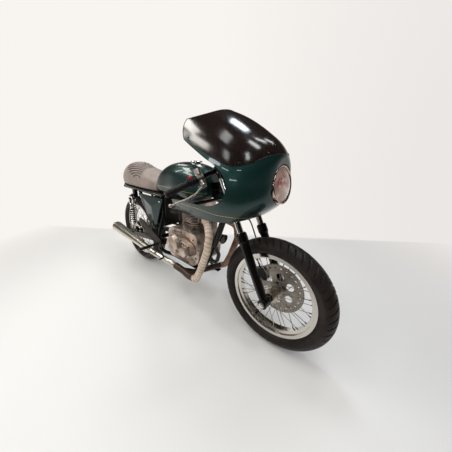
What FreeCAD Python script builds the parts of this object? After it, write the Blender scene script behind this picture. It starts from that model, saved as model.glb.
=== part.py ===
import FreeCAD, Part
import math
import os
import re

import Sketcher

# A cafe racer motorcycle with a half fairing, leaning on its side stand.
# It is modelled upright: +X forward, +Y to the rider's left, +Z up, the ground at Z 0 and the
# origin midway between the axles. At the end every piece is tipped over to the parked lean.

Vector = FreeCAD.Vector
X_AXIS = Vector(1, 0, 0)
Y_AXIS = Vector(0, 1, 0)
Z_AXIS = Vector(0, 0, 1)

doc = FreeCAD.newDocument("cafe_racer")
sheet = doc.addObject("Spreadsheet::Sheet", "Sizes")

# Driving dimensions, in millimetres and degrees
SIZES = [
    # stance
    ("wheelbase", 1417), ("lean_angle", 4.5), ("running_gap", 0.3), ("origin_ahead", 2),
    ("origin_left", 68),
    # tyres and rims
    ("front_tyre_radius", 322), ("front_tyre_width", 108), ("rear_tyre_radius", 318),
    ("rear_tyre_width", 122), ("sidewall_rise", 36), ("bead_radius", 229), ("flange_radius", 243),
    ("front_rim_width", 68), ("rear_rim_width", 80), ("rim_wall", 4), ("well_depth", 14),
    ("spoke_count", 36), ("spoke_radius", 1.9), ("spoke_rim_spread", 7), ("spoke_sweep", 46),
    # front hub and disc
    ("front_axle_radius", 8.5), ("front_hub_radius", 25), ("front_flange_radius", 42),
    ("front_flange_spread", 32), ("flange_thickness", 5), ("front_hub_end", 47),
    ("disc_radius", 148), ("disc_thickness", 5), ("disc_inner_radius", 104), ("disc_offset", 58),
    ("disc_slot_count", 24), ("disc_slot_radius", 5),
    # rear hub, brake and final drive
    ("rear_axle_radius", 9), ("drum_radius", 88), ("drum_flange_radius", 95), ("drum_face", 56),
    ("rear_hub_radius", 32), ("rear_flange_radius", 56), ("rear_flange_offset", 42),
    ("chain_line", 80), ("chain_pitch", 15.875), ("rear_teeth", 36), ("front_teeth", 17),
    ("roller_radius", 4.2), ("plate_height", 14.5), ("chain_inner_width", 9),
    ("chain_plate", 2.4), ("sprocket_thickness", 6.5), ("drive_shaft_x", -78),
    ("drive_shaft_z", 425),
    # fork and steering
    ("rake_angle", 27.5), ("fork_offset", 51), ("fork_spread", 196), ("fork_tube_radius", 17.5),
    ("fork_lower_radius", 23), ("fork_lower_length", 380), ("fork_collar_radius", 28.5),
    ("fork_collar_height", 52), ("fork_top", 740), ("lower_yoke", 490), ("lower_yoke_height", 34),
    ("upper_yoke", 672), ("upper_yoke_height", 26), ("yoke_clamp_radius", 28), ("stem_radius", 15),
    ("head_tube_radius", 30),
    # clip-on bars and controls
    ("clip_on_height", 706), ("clip_on_clamp_height", 30), ("clip_on_clamp_radius", 25),
    ("bar_radius", 11), ("bar_length", 300),
    ("bar_thread_radius", 6), ("bar_thread_depth", 30), ("bar_sweep", 25), ("bar_drop", 11.6),
    ("grip_radius", 16.5), ("grip_length", 122), ("housing_radius", 23), ("housing_length", 44),
    ("perch_length", 34), ("lever_reach", 57), ("lever_length", 190), ("lever_radius", 5.5),
    ("clock_radius", 38), ("clock_depth", 52), ("clock_spread", 92), ("hose_radius", 4),
    # frame
    ("backbone_radius", 22), ("downtube_radius", 20), ("cradle_radius", 14), ("rail_radius", 11),
    ("cradle_spread", 140), ("cradle_height", 276), ("rail_height", 734), ("rail_spread", 190),
    ("post_spread", 274), ("pivot_x", -190), ("pivot_z", 380), ("rail_end", -800),
    # swingarm and shocks
    ("arm_spread", 218), ("arm_width", 26), ("arm_height", 44), ("shock_spread", 270),
    ("shock_top_x", -575), ("shock_top_z", 683), ("shock_foot_x", -628), ("shock_foot_z", 371),
    ("shock_eye_radius", 15), ("shock_body_radius", 18), ("spring_radius", 25),
    ("spring_wire", 3.6), ("spring_turns", 9),
    # engine
    ("crank_x", 139), ("crank_z", 430), ("clutch_x", 15), ("clutch_z", 440),
    ("case_width", 210), ("case_bottom", 299), ("cylinder_x", 120), ("cylinder_foot", 540),
    ("cylinder_height", 74), ("head_height", 88), ("cam_cover_height", 42),
    ("barrel_width", 196), ("barrel_depth", 118), ("fin_reach", 17), ("fin_thickness", 3),
    ("fin_pitch", 9.3), ("clutch_cover_radius", 75), ("points_cover_radius", 34),
    ("port_spread", 124), ("port_height", 640),
    # exhaust
    ("header_radius", 22.5), ("tail_pipe_radius", 20), ("silencer_radius", 45),
    ("silencer_length", 605), ("outlet_radius", 20), ("reverse_cone", 46),
    # tank
    ("tank_rear", -230), ("tank_front", 262), ("tank_top", 976), ("tank_width", 258),
    ("tank_floor", 782), ("tunnel_width", 66), ("tunnel_top", 874), ("knee_dent", 16),
    ("cap_radius", 36), ("cap_x", 95),
    # seat
    ("seat_tail", -862), ("seat_floor", 756.6), ("seat_width", 258), ("saddle_top", 874),
    ("hump_top", 941), ("hump_x", -627), ("pan_thickness", 11), ("pan_front", -132),
    ("tail_lamp_radius", 34),
    # bodywork
    ("panel_front", -140), ("panel_rear", -488), ("panel_top", 722), ("panel_tip_x", -309),
    ("panel_tip_z", 462), ("panel_inner", 112), ("panel_rise", 30),
    ("fairing_width", 464), ("fairing_wall", 4), ("fairing_nose", 676), ("lamp_x", 681), ("lens_rise", 20),
    ("lamp_z", 909), ("lamp_radius", 88), ("lamp_tilt", 8), ("lamp_depth", 106), ("lamp_wall", 3),
    ("stay_radius", 9),
    # side stand and foot controls
    ("stand_pivot_x", -95), ("stand_pivot_y", 152), ("stand_pivot_z", 268), ("stand_splay", 30),
    ("stand_rake", 20), ("stand_radius", 11), ("stand_foot_thickness", 6), ("peg_x", -200),
    ("peg_z", 372), ("peg_radius", 11), ("peg_length", 88), ("peg_start", 215),
    ("rearset_face", 152), ("rearset_thickness", 6),
]

for row, (alias, amount) in enumerate(SIZES, start=1):
    sheet.set(f"A{row}", alias.replace("_", " "))
    sheet.set(f"B{row}", str(amount))
    sheet.setAlias(f"B{row}", alias)
doc.recompute()
ALIASES = {alias for alias, amount in SIZES}


class SheetReader:
    """Gives each size in the sheet as a plain number."""

    def __getattr__(self, alias):
        return float(getattr(sheet, alias))


size = SheetReader()
pieces = []


def bound(expression):
    """Writes an expression on the sheet's sizes the way that other objects refer to them."""
    return re.sub(r"[a-z_]+", lambda word: "Sizes." + word.group() if word.group() in ALIASES
                  else word.group(), str(expression))


def value(expression):
    """Works out an expression on the sheet's sizes."""
    return float(sheet.evalExpression(bound(expression)))


def piece(thing, label, place=None):
    """Names a sub-part and puts it where it belongs on the upright machine."""
    thing.Label = label
    if place is not None:
        thing.Placement = place
    pieces.append(thing)
    return thing


def feature(label, shape, place=None):
    """A sub-part whose shape comes from sweeps, lofts or formulas."""
    thing = doc.addObject("Part::Feature", label)
    thing.Shape = shape
    return piece(thing, label, place)


# Sketched bodies

def arc_through(start, middle, end):
    """The arc through three points of a sketch, and whether it runs from start to end."""
    circle = Part.Arc(start, middle, end).toShape().Curve
    centre = circle.Center
    angles = [math.atan2(p.y - centre.y, p.x - centre.x) for p in (start, middle, end)]
    to_middle = (angles[1] - angles[0]) % (2 * math.pi)
    to_end = (angles[2] - angles[0]) % (2 * math.pi)
    forward = to_middle < to_end
    first, last = (angles[0], angles[2]) if forward else (angles[2], angles[0])
    if last < first:
        last += 2 * math.pi
    plain = Part.Circle(centre, Z_AXIS, circle.Radius)
    return Part.ArcOfCircle(plain, first, last), forward


def pin(sketch, geometry, point, across, up):
    """Ties a sketch point to two expressions on the sheet."""
    for kind, expression in (("DistanceX", across), ("DistanceY", up)):
        here = value(expression)
        number = sketch.addConstraint(Sketcher.Constraint(kind, -1, 1, geometry, point, here))
        sketch.setExpression(f"Constraints[{number}]", bound(expression))


def closed_sketch(body, role, outline, name):
    """A closed outline of corners (across, up). A corner (across, up, (across, up)) is reached
    by an arc through the middle point that it names."""
    sketch = body.newObject("Sketcher::SketchObject", name)
    plane = next(f for f in body.Origin.OriginFeatures if f.Role == role)
    sketch.AttachmentSupport = (plane, [""])
    sketch.MapMode = "FlatFace"
    corners = [Vector(value(c[0]), value(c[1]), 0) for c in outline]
    ends = []
    for index, corner in enumerate(outline):
        start = corners[index - 1]
        if len(corner) == 2:
            number = sketch.addGeometry(Part.LineSegment(start, corners[index]), False)
            ends.append((number, 1, 2))
        else:
            middle = Vector(value(corner[2][0]), value(corner[2][1]), 0)
            arc, forward = arc_through(start, middle, corners[index])
            number = sketch.addGeometry(arc, False)
            ends.append((number, 1, 2) if forward else (number, 2, 1))
    for index, corner in enumerate(outline):
        number, first, last = ends[index]
        following = ends[(index + 1) % len(ends)]
        sketch.addConstraint(Sketcher.Constraint("Coincident", number, last,
                                                 following[0], following[1]))
        pin(sketch, number, last, corner[0], corner[1])
    for index, corner in enumerate(outline):
        if len(corner) == 3:
            middle = Vector(value(corner[2][0]), value(corner[2][1]), 0)
            dot = sketch.addGeometry(Part.Point(middle), True)
            pin(sketch, dot, 1, corner[2][0], corner[2][1])
            sketch.addConstraint(Sketcher.Constraint("PointOnObject", dot, 1, ends[index][0]))
    return sketch


def revolved_body(label, outline, place=None, role="YZ_Plane", axis="H_Axis"):
    """A body turned about one axis of its sketch."""
    body = doc.addObject("PartDesign::Body", label)
    sketch = closed_sketch(body, role, outline, label + "_profile")
    turned = body.newObject("PartDesign::Revolution", label + "_turned")
    turned.Profile = sketch
    turned.ReferenceAxis = (sketch, [axis])
    turned.Angle = 360
    return piece(body, label, place)


def padded_body(label, outline, length, place=None, role="XZ_Plane", reverse=False):
    """A body drawn on one of its planes and padded out from it."""
    body = doc.addObject("PartDesign::Body", label)
    sketch = closed_sketch(body, role, outline, label + "_profile")
    pad = body.newObject("PartDesign::Pad", label + "_pad")
    pad.Profile = sketch
    pad.setExpression("Length", bound(length))
    pad.Reversed = reverse
    return piece(body, label, place)


# Shapes that sketches don't suit

def smooth_path(points, bend):
    """Straight runs joined by tangent arcs of one radius, or less where a run is short."""
    edges = []
    start = points[0]
    for before, corner, after in zip(points, points[1:], points[2:]):
        back = (before - corner).normalize()
        ahead = (after - corner).normalize()
        turn = math.pi - back.getAngle(ahead)
        if turn < 0.01:
            continue
        room = 0.48 * min((before - corner).Length, (after - corner).Length)
        cut = min(bend * math.tan(turn / 2), room)
        radius = cut / math.tan(turn / 2)
        bisector = (back + ahead).normalize()
        middle = corner + bisector * (radius / math.cos(turn / 2) - radius)
        edges.append(Part.LineSegment(start, corner + back * cut).toShape())
        edges.append(Part.Arc(corner + back * cut, middle, corner + ahead * cut).toShape())
        start = corner + ahead * cut
    edges.append(Part.LineSegment(start, points[-1]).toShape())
    return Part.Wire(edges)


def tube(points, radius, bend=60):
    """A round tube along a path."""
    path = smooth_path(points, bend)
    ring = Part.Wire(Part.Circle(points[0], points[1] - points[0], radius).toShape())
    return path.makePipeShell([ring], True, True)


def rod(start, end, radius):
    """A straight round bar."""
    return Part.makeCylinder(radius, (end - start).Length, start, end - start)


def block(x_range, y_range, z_range):
    """A box between two values on each axis."""
    low = Vector(min(x_range), min(y_range), min(z_range))
    return Part.makeBox(max(x_range) - low.x, max(y_range) - low.y, max(z_range) - low.z, low)


def plate(points, y_from, y_to):
    """A flat plate with a straight-sided side view, points being (x, z)."""
    corners = [Vector(x, y_from, z) for x, z in points]
    face = Part.Face(Part.makePolygon(corners + corners[:1]))
    return face.extrude(Vector(0, y_to - y_from, 0))


def mirrored(shape):
    """The same shape on the other side of the machine."""
    return shape.mirror(Vector(0, 0, 0), Y_AXIS)


def fused(shapes):
    """One solid from shapes that run into each other."""
    whole = shapes[0].multiFuse(shapes[1:])
    return whole.removeSplitter()


def oval_section(x, half_width, top, middle, floor, upper=2.3, lower=2.3, count=16):
    """A closed cross-section at one X: a rounded oval, fuller as its exponents grow."""
    points = []
    for step in range(count):
        angle = 2 * math.pi * (step + 0.5) / count - math.pi / 2
        across, along = math.cos(angle), math.sin(angle)
        power = upper if along > 0 else lower
        reach = top - middle if along > 0 else middle - floor
        y = half_width * math.copysign(abs(across) ** (2 / power), across)
        z = middle + reach * math.copysign(abs(along) ** (2 / power), along)
        points.append(Vector(x, y, z))
    curve = Part.BSplineCurve()
    curve.interpolate(Points=points, PeriodicFlag=True)
    return Part.Wire(curve.toShape())


def loft(sections):
    """A smooth solid through cross-sections."""
    return Part.makeLoft(sections, True, False)


# Places that many pieces share

half_base = size.wheelbase / 2
front_axle = Vector(half_base, 0, size.front_tyre_radius)
rear_axle = Vector(-half_base, 0, size.rear_tyre_radius)
front_place = FreeCAD.Placement(front_axle, FreeCAD.Rotation())
rear_place = FreeCAD.Placement(rear_axle, FreeCAD.Rotation())
fork_turn = FreeCAD.Rotation(Y_AXIS, -size.rake_angle)
# The fork's own frame: origin at the front axle, Z up the legs, X ahead of them.
fork_place = FreeCAD.Placement(front_axle, fork_turn)
leg_y = size.fork_spread / 2
gap = size.running_gap


def at(x, y, z):
    return FreeCAD.Placement(Vector(x, y, z), FreeCAD.Rotation())


# Wheels

def tyre(label, radius, width, rim_width, place):
    """A tyre: beads inside the flanges, bulging sidewalls and one round crown."""
    bead = f"({rim_width} / 2 - rim_wall - running_gap)"
    foot = "(bead_radius + running_gap)"
    clear = "(flange_radius + 2)"
    shoulder = f"(flange_radius + sidewall_rise)"
    bulge = f"({bead} * 0.35 + {width} / 2 * 0.65)"
    part_way = "(flange_radius + sidewall_rise * 0.38)"
    outline = [
        (f"-{bead}", foot),
        (bead, foot),
        (bead, clear),
        (f"{width} / 2", shoulder, (bulge, part_way)),
        (f"-{width} / 2", shoulder, ("0", radius)),
        (f"-{bead}", clear, (f"-{bulge}", part_way)),
    ]
    return revolved_body(label, outline, place)


def rim(label, rim_width, place):
    """A spoked rim: two flanges, two bead seats and a well between them."""
    edge = f"({rim_width} / 2)"
    seat = "bead_radius"
    well = "(bead_radius - well_depth)"
    outline = [
        (f"-{edge}", "flange_radius"),
        (f"-({edge} - rim_wall)", "flange_radius"),
        (f"-({edge} - rim_wall)", seat),
        (f"-({edge} * 0.55)", seat),
        (f"-({edge} * 0.38)", well),
        (f"{edge} * 0.38", well),
        (f"{edge} * 0.55", seat),
        (f"{edge} - rim_wall", seat),
        (f"{edge} - rim_wall", "flange_radius"),
        (edge, "flange_radius"),
        (edge, f"{seat} - rim_wall"),
        (f"{edge} * 0.6", f"{seat} - rim_wall"),
        (f"{edge} * 0.44", f"{well} - rim_wall"),
        (f"-({edge} * 0.44)", f"{well} - rim_wall"),
        (f"-({edge} * 0.6)", f"{seat} - rim_wall"),
        (f"-{edge}", f"{seat} - rim_wall"),
    ]
    return revolved_body(label, outline, place)


def spokes(label, flanges, place):
    """Tangent spokes from the hub's two flanges to the rim's well. Each flange is its middle Y
    and its spoke circle. Every other spoke starts on the flange's outer face. A spoke is drawn
    with six sides, because it is too thin for more to show."""
    count = int(size.spoke_count)
    rim_end = size.bead_radius - size.well_depth - size.rim_wall - 0.8
    stand_off = size.flange_thickness / 2 + size.spoke_radius + 2 * gap
    bars = []
    for number in range(count):
        side = 1 if number % 2 else -1
        middle, circle = flanges[0] if side < 0 else flanges[1]
        outer = 1 if (number // 2) % 2 else -1
        stand = stand_off + (1 if outer > 0 else 0)
        at_rim = 2 * math.pi * number / count
        at_hub = at_rim + outer * math.radians(size.spoke_sweep)
        start = Vector(circle * math.cos(at_hub), middle + side * outer * stand,
                       circle * math.sin(at_hub))
        end = Vector(rim_end * math.cos(at_rim), side * size.spoke_rim_spread,
                     rim_end * math.sin(at_rim))
        ring = Part.makePolygon([
            Vector(size.spoke_radius * math.cos(math.radians(60 * k)),
                   size.spoke_radius * math.sin(math.radians(60 * k)), 0) for k in range(7)])
        bar = Part.Face(ring).extrude(Vector(0, 0, (end - start).Length))
        bar.Placement = FreeCAD.Placement(start, FreeCAD.Rotation(Z_AXIS, end - start))
        bars.append(bar)
    return feature(label, Part.makeCompound(bars), place)


tyre("front_tyre", "front_tyre_radius", "front_tyre_width", "front_rim_width", front_place)
tyre("rear_tyre", "rear_tyre_radius", "rear_tyre_width", "rear_rim_width", rear_place)
rim("front_rim", "front_rim_width", front_place)
rim("rear_rim", "rear_rim_width", rear_place)
front_circle = size.front_flange_radius - 2
spokes("front_spokes", [(-size.front_flange_spread, front_circle),
                        (size.front_flange_spread, front_circle)], front_place)
spokes("rear_spokes", [(2 - size.drum_face, size.drum_flange_radius - 0.8),
                       (size.rear_flange_offset, size.rear_flange_radius - 2)], rear_place)

# Front hub: a barrel with a spoke flange at each side, and the disc's seat on the left.
disc_seat = "(disc_offset - disc_thickness / 2 - running_gap)"
inner_face = "(front_flange_spread - flange_thickness / 2)"
outer_face = "(front_flange_spread + flange_thickness / 2)"
revolved_body("front_hub", [
    ("-front_hub_end", "front_axle_radius + running_gap"),
    (disc_seat + " + 4", "front_axle_radius + running_gap"),
    (disc_seat + " + 4", "front_hub_radius - 4"),
    (disc_seat, "front_hub_radius - 4"),
    (disc_seat, "front_flange_radius + 4"),
    (disc_seat + " - 6", "front_flange_radius + 4"),
    (disc_seat + " - 6", "front_hub_radius + 3"),
    (outer_face, "front_hub_radius + 3"),
    (outer_face, "front_flange_radius"),
    (inner_face, "front_flange_radius"),
    (inner_face, "front_hub_radius + 3"),
    (f"-{inner_face}", "front_hub_radius + 3", ("0", "front_hub_radius - 2")),
    (f"-{inner_face}", "front_flange_radius"),
    (f"-{outer_face}", "front_flange_radius"),
    (f"-{outer_face}", "front_hub_radius"),
    ("-front_hub_end", "front_hub_radius - 3"),
], front_place)


def brake_disc():
    """A drilled disc on a spider, with a ring of slots through its band."""
    body = revolved_body("front_disc", [
        ("disc_offset - disc_thickness / 2", "front_hub_radius - 4 + running_gap"),
        ("disc_offset + disc_thickness / 2", "front_hub_radius - 4 + running_gap"),
        ("disc_offset + disc_thickness / 2", "disc_radius"),
        ("disc_offset - disc_thickness / 2", "disc_radius"),
    ], front_place)
    doc.recompute()
    middle = "((disc_inner_radius + disc_radius) / 2)"
    for name, radius, hole, count in (
            ("band", middle, "disc_slot_radius", "disc_slot_count"),
            ("spider", "((disc_inner_radius + front_flange_radius) / 2 + 2)",
             "(disc_inner_radius - front_flange_radius) / 2 - 8", "6")):
        sketch = body.newObject("Sketcher::SketchObject", "disc_" + name)
        plane = next(f for f in body.Origin.OriginFeatures if f.Role == "XZ_Plane")
        sketch.AttachmentSupport = (plane, [""])
        sketch.MapMode = "FlatFace"
        circle = Part.Circle(Vector(0, value(radius), 0), Z_AXIS, value(hole))
        number = sketch.addGeometry(circle, False)
        pin(sketch, number, 3, "0", radius)
        around = sketch.addConstraint(Sketcher.Constraint("Radius", number, value(hole)))
        sketch.setExpression(f"Constraints[{around}]", bound(hole))
        pocket = body.newObject("PartDesign::Pocket", "disc_" + name + "_hole")
        pocket.Profile = sketch
        pocket.Type = "ThroughAll"
        pocket.Midplane = True
        pattern = body.newObject("PartDesign::PolarPattern", "disc_" + name + "_ring")
        pattern.Originals = [pocket]
        pattern.Axis = (sketch, ["N_Axis"])
        pattern.Angle = 360
        pattern.setExpression("Occurrences", bound(count))
        body.Tip = pattern
        doc.recompute()


brake_disc()

# Rear hub: the brake drum on the right, a flange and the sprocket's seat on the left.
sprocket_seat = "(chain_line - sprocket_thickness / 2 - running_gap)"
flange_in = "(rear_flange_offset - flange_thickness / 2)"
flange_out = "(rear_flange_offset + flange_thickness / 2)"
revolved_body("rear_hub", [
    ("-drum_face", "rear_axle_radius + running_gap"),
    (sprocket_seat + " + 3", "rear_axle_radius + running_gap"),
    (sprocket_seat + " + 3", "rear_hub_radius"),
    (sprocket_seat, "rear_hub_radius"),
    (sprocket_seat, "rear_flange_radius - 6"),
    (sprocket_seat + " - 7", "rear_flange_radius - 6"),
    (sprocket_seat + " - 12", "rear_hub_radius + 6"),
    (flange_out, "rear_hub_radius + 6"),
    (flange_out, "rear_flange_radius"),
    (flange_in, "rear_flange_radius"),
    (flange_in, "rear_hub_radius + 6"),
    ("-drum_face + 42", "rear_hub_radius", ("10", "rear_hub_radius - 2")),
    ("-drum_face + 38", "drum_radius - 8"),
    ("-drum_face + 30", "drum_radius"),
    ("-drum_face + 2 + flange_thickness / 2", "drum_radius"),
    ("-drum_face + 2 + flange_thickness / 2", "drum_flange_radius"),
    ("-drum_face + 2 - flange_thickness / 2 + 0.5", "drum_flange_radius"),
    ("-drum_face", "drum_radius"),
], rear_place)


def sprocket_radius(teeth):
    return size.chain_pitch / 2 / math.sin(math.pi / teeth)


def rear_sprocket():
    """A toothed ring on arms. Its teeth end just under the chain's rollers, so that the wheel
    turns freely inside the chain, which is one fixed loop."""
    teeth = int(size.rear_teeth)
    tip = sprocket_radius(teeth) - size.roller_radius - 3 * gap
    root = tip - 3
    points = []
    for number in range(teeth):
        for offset, reach in ((-0.5, root), (-0.3, root), (-0.14, tip), (0.14, tip), (0.3, root)):
            angle = 2 * math.pi * (number + offset) / teeth
            points.append(Vector(reach * math.cos(angle), 0, reach * math.sin(angle)))
    ring = Part.Face(Part.makePolygon(points + points[:1])).extrude(
        Vector(0, size.sprocket_thickness, 0))
    bore = size.rear_hub_radius + gap
    ring = ring.cut(Part.makeCylinder(bore, 2 * size.sprocket_thickness, Vector(0, -1, 0), Y_AXIS))
    window = Part.makeCylinder((root - size.rear_flange_radius) / 2 - 3, 40,
                               Vector((root + size.rear_flange_radius) / 2 - 2, -1, 0), Y_AXIS)
    holes = []
    for number in range(8):
        hole = window.copy()
        hole.rotate(Vector(0, 0, 0), Y_AXIS, 45 * number)
        holes.append(hole)
    ring = ring.cut(Part.makeCompound(holes))
    ring.translate(Vector(0, size.chain_line - size.sprocket_thickness / 2, 0))
    return feature("rear_sprocket", ring, rear_place)


rear_sprocket()

# Steering: everything here is in the fork's own frame and turns with the bars.
steer = FreeCAD.Vector(-size.fork_offset, 0, 0)

# Front spindle with its head and nut outside the legs, and a spacer each side of the hub.
spindle_end = "(fork_spread / 2 + fork_lower_radius + running_gap)"
revolved_body("front_axle", [
    (f"-{spindle_end} - 9", "0"),
    (f"{spindle_end} + 9", "0"),
    (f"{spindle_end} + 9", "front_axle_radius + 5"),
    (spindle_end, "front_axle_radius + 5"),
    (spindle_end, "front_axle_radius"),
    ("fork_spread / 2 - fork_lower_radius - running_gap", "front_axle_radius"),
    ("fork_spread / 2 - fork_lower_radius - running_gap", "front_axle_radius + 4"),
    (disc_seat + " + 4 + running_gap", "front_axle_radius + 4"),
    (disc_seat + " + 4 + running_gap", "front_axle_radius"),
    ("-front_hub_end - running_gap", "front_axle_radius"),
    ("-front_hub_end - running_gap", "front_axle_radius + 6"),
    ("-(fork_spread / 2 - fork_lower_radius - running_gap)", "front_axle_radius + 6"),
    ("-(fork_spread / 2 - fork_lower_radius - running_gap)", "front_axle_radius"),
    (f"-{spindle_end}", "front_axle_radius"),
    (f"-{spindle_end}", "front_axle_radius + 7"),
    (f"-{spindle_end} - 9", "front_axle_radius + 7"),
], front_place)


def fork_lower():
    """One cast leg: a tapered barrel, the dust seal collar on top and the spindle's eye below."""
    radius = size.fork_lower_radius
    collar = size.fork_lower_length - size.fork_collar_height
    profile = [
        (0, -radius * 0.4), (radius - 4, -radius * 0.4), (radius - 1, 40), (radius, 90),
        (radius, collar - 14), (size.fork_collar_radius - 2, collar),
        (size.fork_collar_radius, collar + 4),
        (size.fork_collar_radius, size.fork_lower_length - 8),
        (size.fork_collar_radius - 6, size.fork_lower_length), (0, size.fork_lower_length)]
    corners = [Vector(r, 0, z) for r, z in profile]
    leg = Part.Face(Part.makePolygon(corners + corners[:1])).revolve(
        Vector(0, 0, 0), Z_AXIS, 360)
    eye = Part.makeCylinder(radius + 3, 2 * radius, Vector(0, -radius, 0), Y_AXIS)
    leg = leg.fuse(eye)
    bore = size.fork_tube_radius + gap
    leg = leg.cut(Part.makeCylinder(bore, 90, Vector(0, 0, size.fork_lower_length - 80)))
    hole = Part.makeCylinder(size.front_axle_radius + gap, 4 * radius,
                             Vector(0, -2 * radius, 0), Y_AXIS)
    return leg.cut(hole).removeSplitter()


CALIPER = {"v": (-122, -44), "t": (58, 134)}
CALIPER_LUG = {"v": (-43.7, -12), "t": (72, 120)}


def fork_lowers():
    leg = fork_lower()
    right = leg.copy()
    right.translate(Vector(0, -leg_y, 0))
    left = leg.copy()
    left.translate(Vector(0, leg_y, 0))
    # the left leg carries the caliper on a lug behind it
    lug = block(CALIPER_LUG["v"], (leg_y - size.fork_lower_radius + 4, leg_y),
                CALIPER_LUG["t"])
    left = left.fuse(lug).removeSplitter()
    feature("fork_lowers", Part.makeCompound([right, left]), fork_place)


fork_lowers()


def fork_tubes():
    foot = size.fork_lower_length - 79
    tubes = [Part.makeCylinder(size.fork_tube_radius, size.fork_top - foot,
                               Vector(0, side * leg_y, foot)) for side in (-1, 1)]
    feature("fork_tubes", Part.makeCompound(tubes), fork_place)


fork_tubes()


def yoke_plate(foot, height):
    """A yoke: two clamps and the stem's boss, joined by straight flanks."""
    clamp = size.yoke_clamp_radius
    boss = size.stem_radius + 12
    left = Vector(0, leg_y, foot)
    right = Vector(0, -leg_y, foot)
    middle = steer + Vector(0, 0, foot)
    parts = [Part.makeCylinder(clamp, height, spot) for spot in (left, right)]
    parts.append(Part.makeCylinder(boss, height, middle))
    web = [Vector(clamp * 0.55, -leg_y, foot), Vector(clamp * 0.55, leg_y, foot),
           Vector(-clamp * 0.7, leg_y, foot), Vector(-size.fork_offset - boss * 0.8, 14, foot),
           Vector(-size.fork_offset - boss * 0.8, -14, foot), Vector(-clamp * 0.7, -leg_y, foot)]
    parts.append(Part.Face(Part.makePolygon(web + web[:1])).extrude(Vector(0, 0, height)))
    whole = fused(parts)
    for spot in (left, right):
        whole = whole.cut(Part.makeCylinder(size.fork_tube_radius + gap, height + 2,
                                            spot - Vector(0, 0, 1)))
    return whole


def fork_yokes():
    lower = yoke_plate(size.lower_yoke, size.lower_yoke_height)
    upper = yoke_plate(size.upper_yoke, size.upper_yoke_height)
    stem = Part.makeCylinder(size.stem_radius, size.upper_yoke - size.lower_yoke,
                             steer + Vector(0, 0, size.lower_yoke))
    nut = Part.makeCylinder(size.stem_radius + 3, 12,
                            steer + Vector(0, 0, size.upper_yoke + size.upper_yoke_height))
    feature("fork_yokes", fused([lower, upper, stem, nut]), fork_place)


fork_yokes()

# Clip-on bars: a clamp on each tube above the upper yoke, and a bar swept back and down.
bar_start = Vector(0, -leg_y, size.clip_on_height + size.clip_on_clamp_height / 2)
sweep = math.radians(size.bar_sweep)
drop = math.radians(size.bar_drop)
bar_way = Vector(-math.sin(sweep) * math.cos(drop), -math.cos(sweep) * math.cos(drop),
                 -math.sin(drop))
bar_end = bar_start + bar_way * size.bar_length


def along_bar(distance):
    return bar_start + bar_way * distance


def sleeve(start, end, outer):
    """A round sleeve on the bar, between two distances along it."""
    skin = rod(along_bar(start), along_bar(end), outer)
    return skin.cut(rod(along_bar(start - 1), along_bar(end + 1), size.bar_radius + gap))


def pair(label, right):
    """A piece of the right bar, and its mirror image on the left."""
    return feature(label, Part.makeCompound([right, mirrored(right)]), fork_place)


def clip_ons():
    clamp = Part.makeCylinder(size.clip_on_clamp_radius, size.clip_on_clamp_height,
                              Vector(0, -leg_y, size.clip_on_height))
    bar = rod(bar_start, bar_end, size.bar_radius)
    hole = Part.makeCylinder(size.fork_tube_radius + gap, size.clip_on_clamp_height + 60,
                             Vector(0, -leg_y, size.clip_on_height - 30))
    thread = rod(along_bar(size.bar_length - size.bar_thread_depth), along_bar(size.bar_length + 1),
                 size.bar_thread_radius)
    pair("clip_on_bars", clamp.fuse(bar).removeSplitter().cut(hole).cut(thread))


clip_ons()
grip_from = size.bar_length - size.grip_length
pair("grips", sleeve(grip_from, size.bar_length - 2, size.grip_radius))
housing_from = grip_from - 1 - size.housing_length
perch_from = housing_from - 1 - size.perch_length

# The lever's side of the bar: below it and a little ahead of it, square to the bar.
ahead = Vector(0.16, 0, -0.99)
lever_way = (ahead - bar_way * ahead.dot(bar_way)).normalize()


def control_perches():
    """The twistgrip housing, and the lever's perch with its body ahead of the bar."""
    housing = sleeve(housing_from, grip_from - 1, size.housing_radius)
    perch = sleeve(perch_from, perch_from + size.perch_length, size.bar_radius + 8)
    middle = along_bar(perch_from + size.perch_length / 2)
    arm = rod(middle + lever_way * (size.bar_radius + 4), middle + lever_way * 40, 13)
    reservoir = Part.makeCylinder(17, 30, middle + Vector(0, 0, size.bar_radius + 4), Z_AXIS)
    perch = fused([perch, arm, reservoir])
    pair("control_housings", housing)
    pair("lever_perches", perch)
    return middle


perch_middle = control_perches()


def levers():
    """A lever: pivoted at the perch's nose, curving out to run beside the grip."""
    nose = perch_middle + lever_way * (40 + gap + size.lever_radius)
    out = bar_way
    reach = size.lever_reach - 40
    points = [nose - out * 10, nose + out * 22, nose + out * 60 + lever_way * reach * 0.9,
              nose + out * 110 + lever_way * reach,
              nose + out * size.lever_length + lever_way * reach * 0.5]
    blade = tube(points, size.lever_radius, 80)
    ball = Part.makeSphere(size.lever_radius + 3, points[-1])
    pair("control_levers", blade.fuse(ball).removeSplitter())


levers()


def clocks():
    """Two round clocks on a plate that stands on the upper yoke."""
    floor = size.upper_yoke + size.upper_yoke_height + gap
    spread = size.clock_spread / 2
    shelf = block((10, 62), (-spread - 18, spread + 18), (floor + 14, floor + 18))
    foot = block((4, 16), (-22, 22), (floor, floor + 18))
    cans = [Part.makeCone(size.clock_radius - 5, size.clock_radius, size.clock_depth,
                          Vector(46, side * spread, floor + 16)) for side in (-1, 1)]
    feature("clocks", fused([shelf, foot] + cans), fork_place)


clocks()


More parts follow.
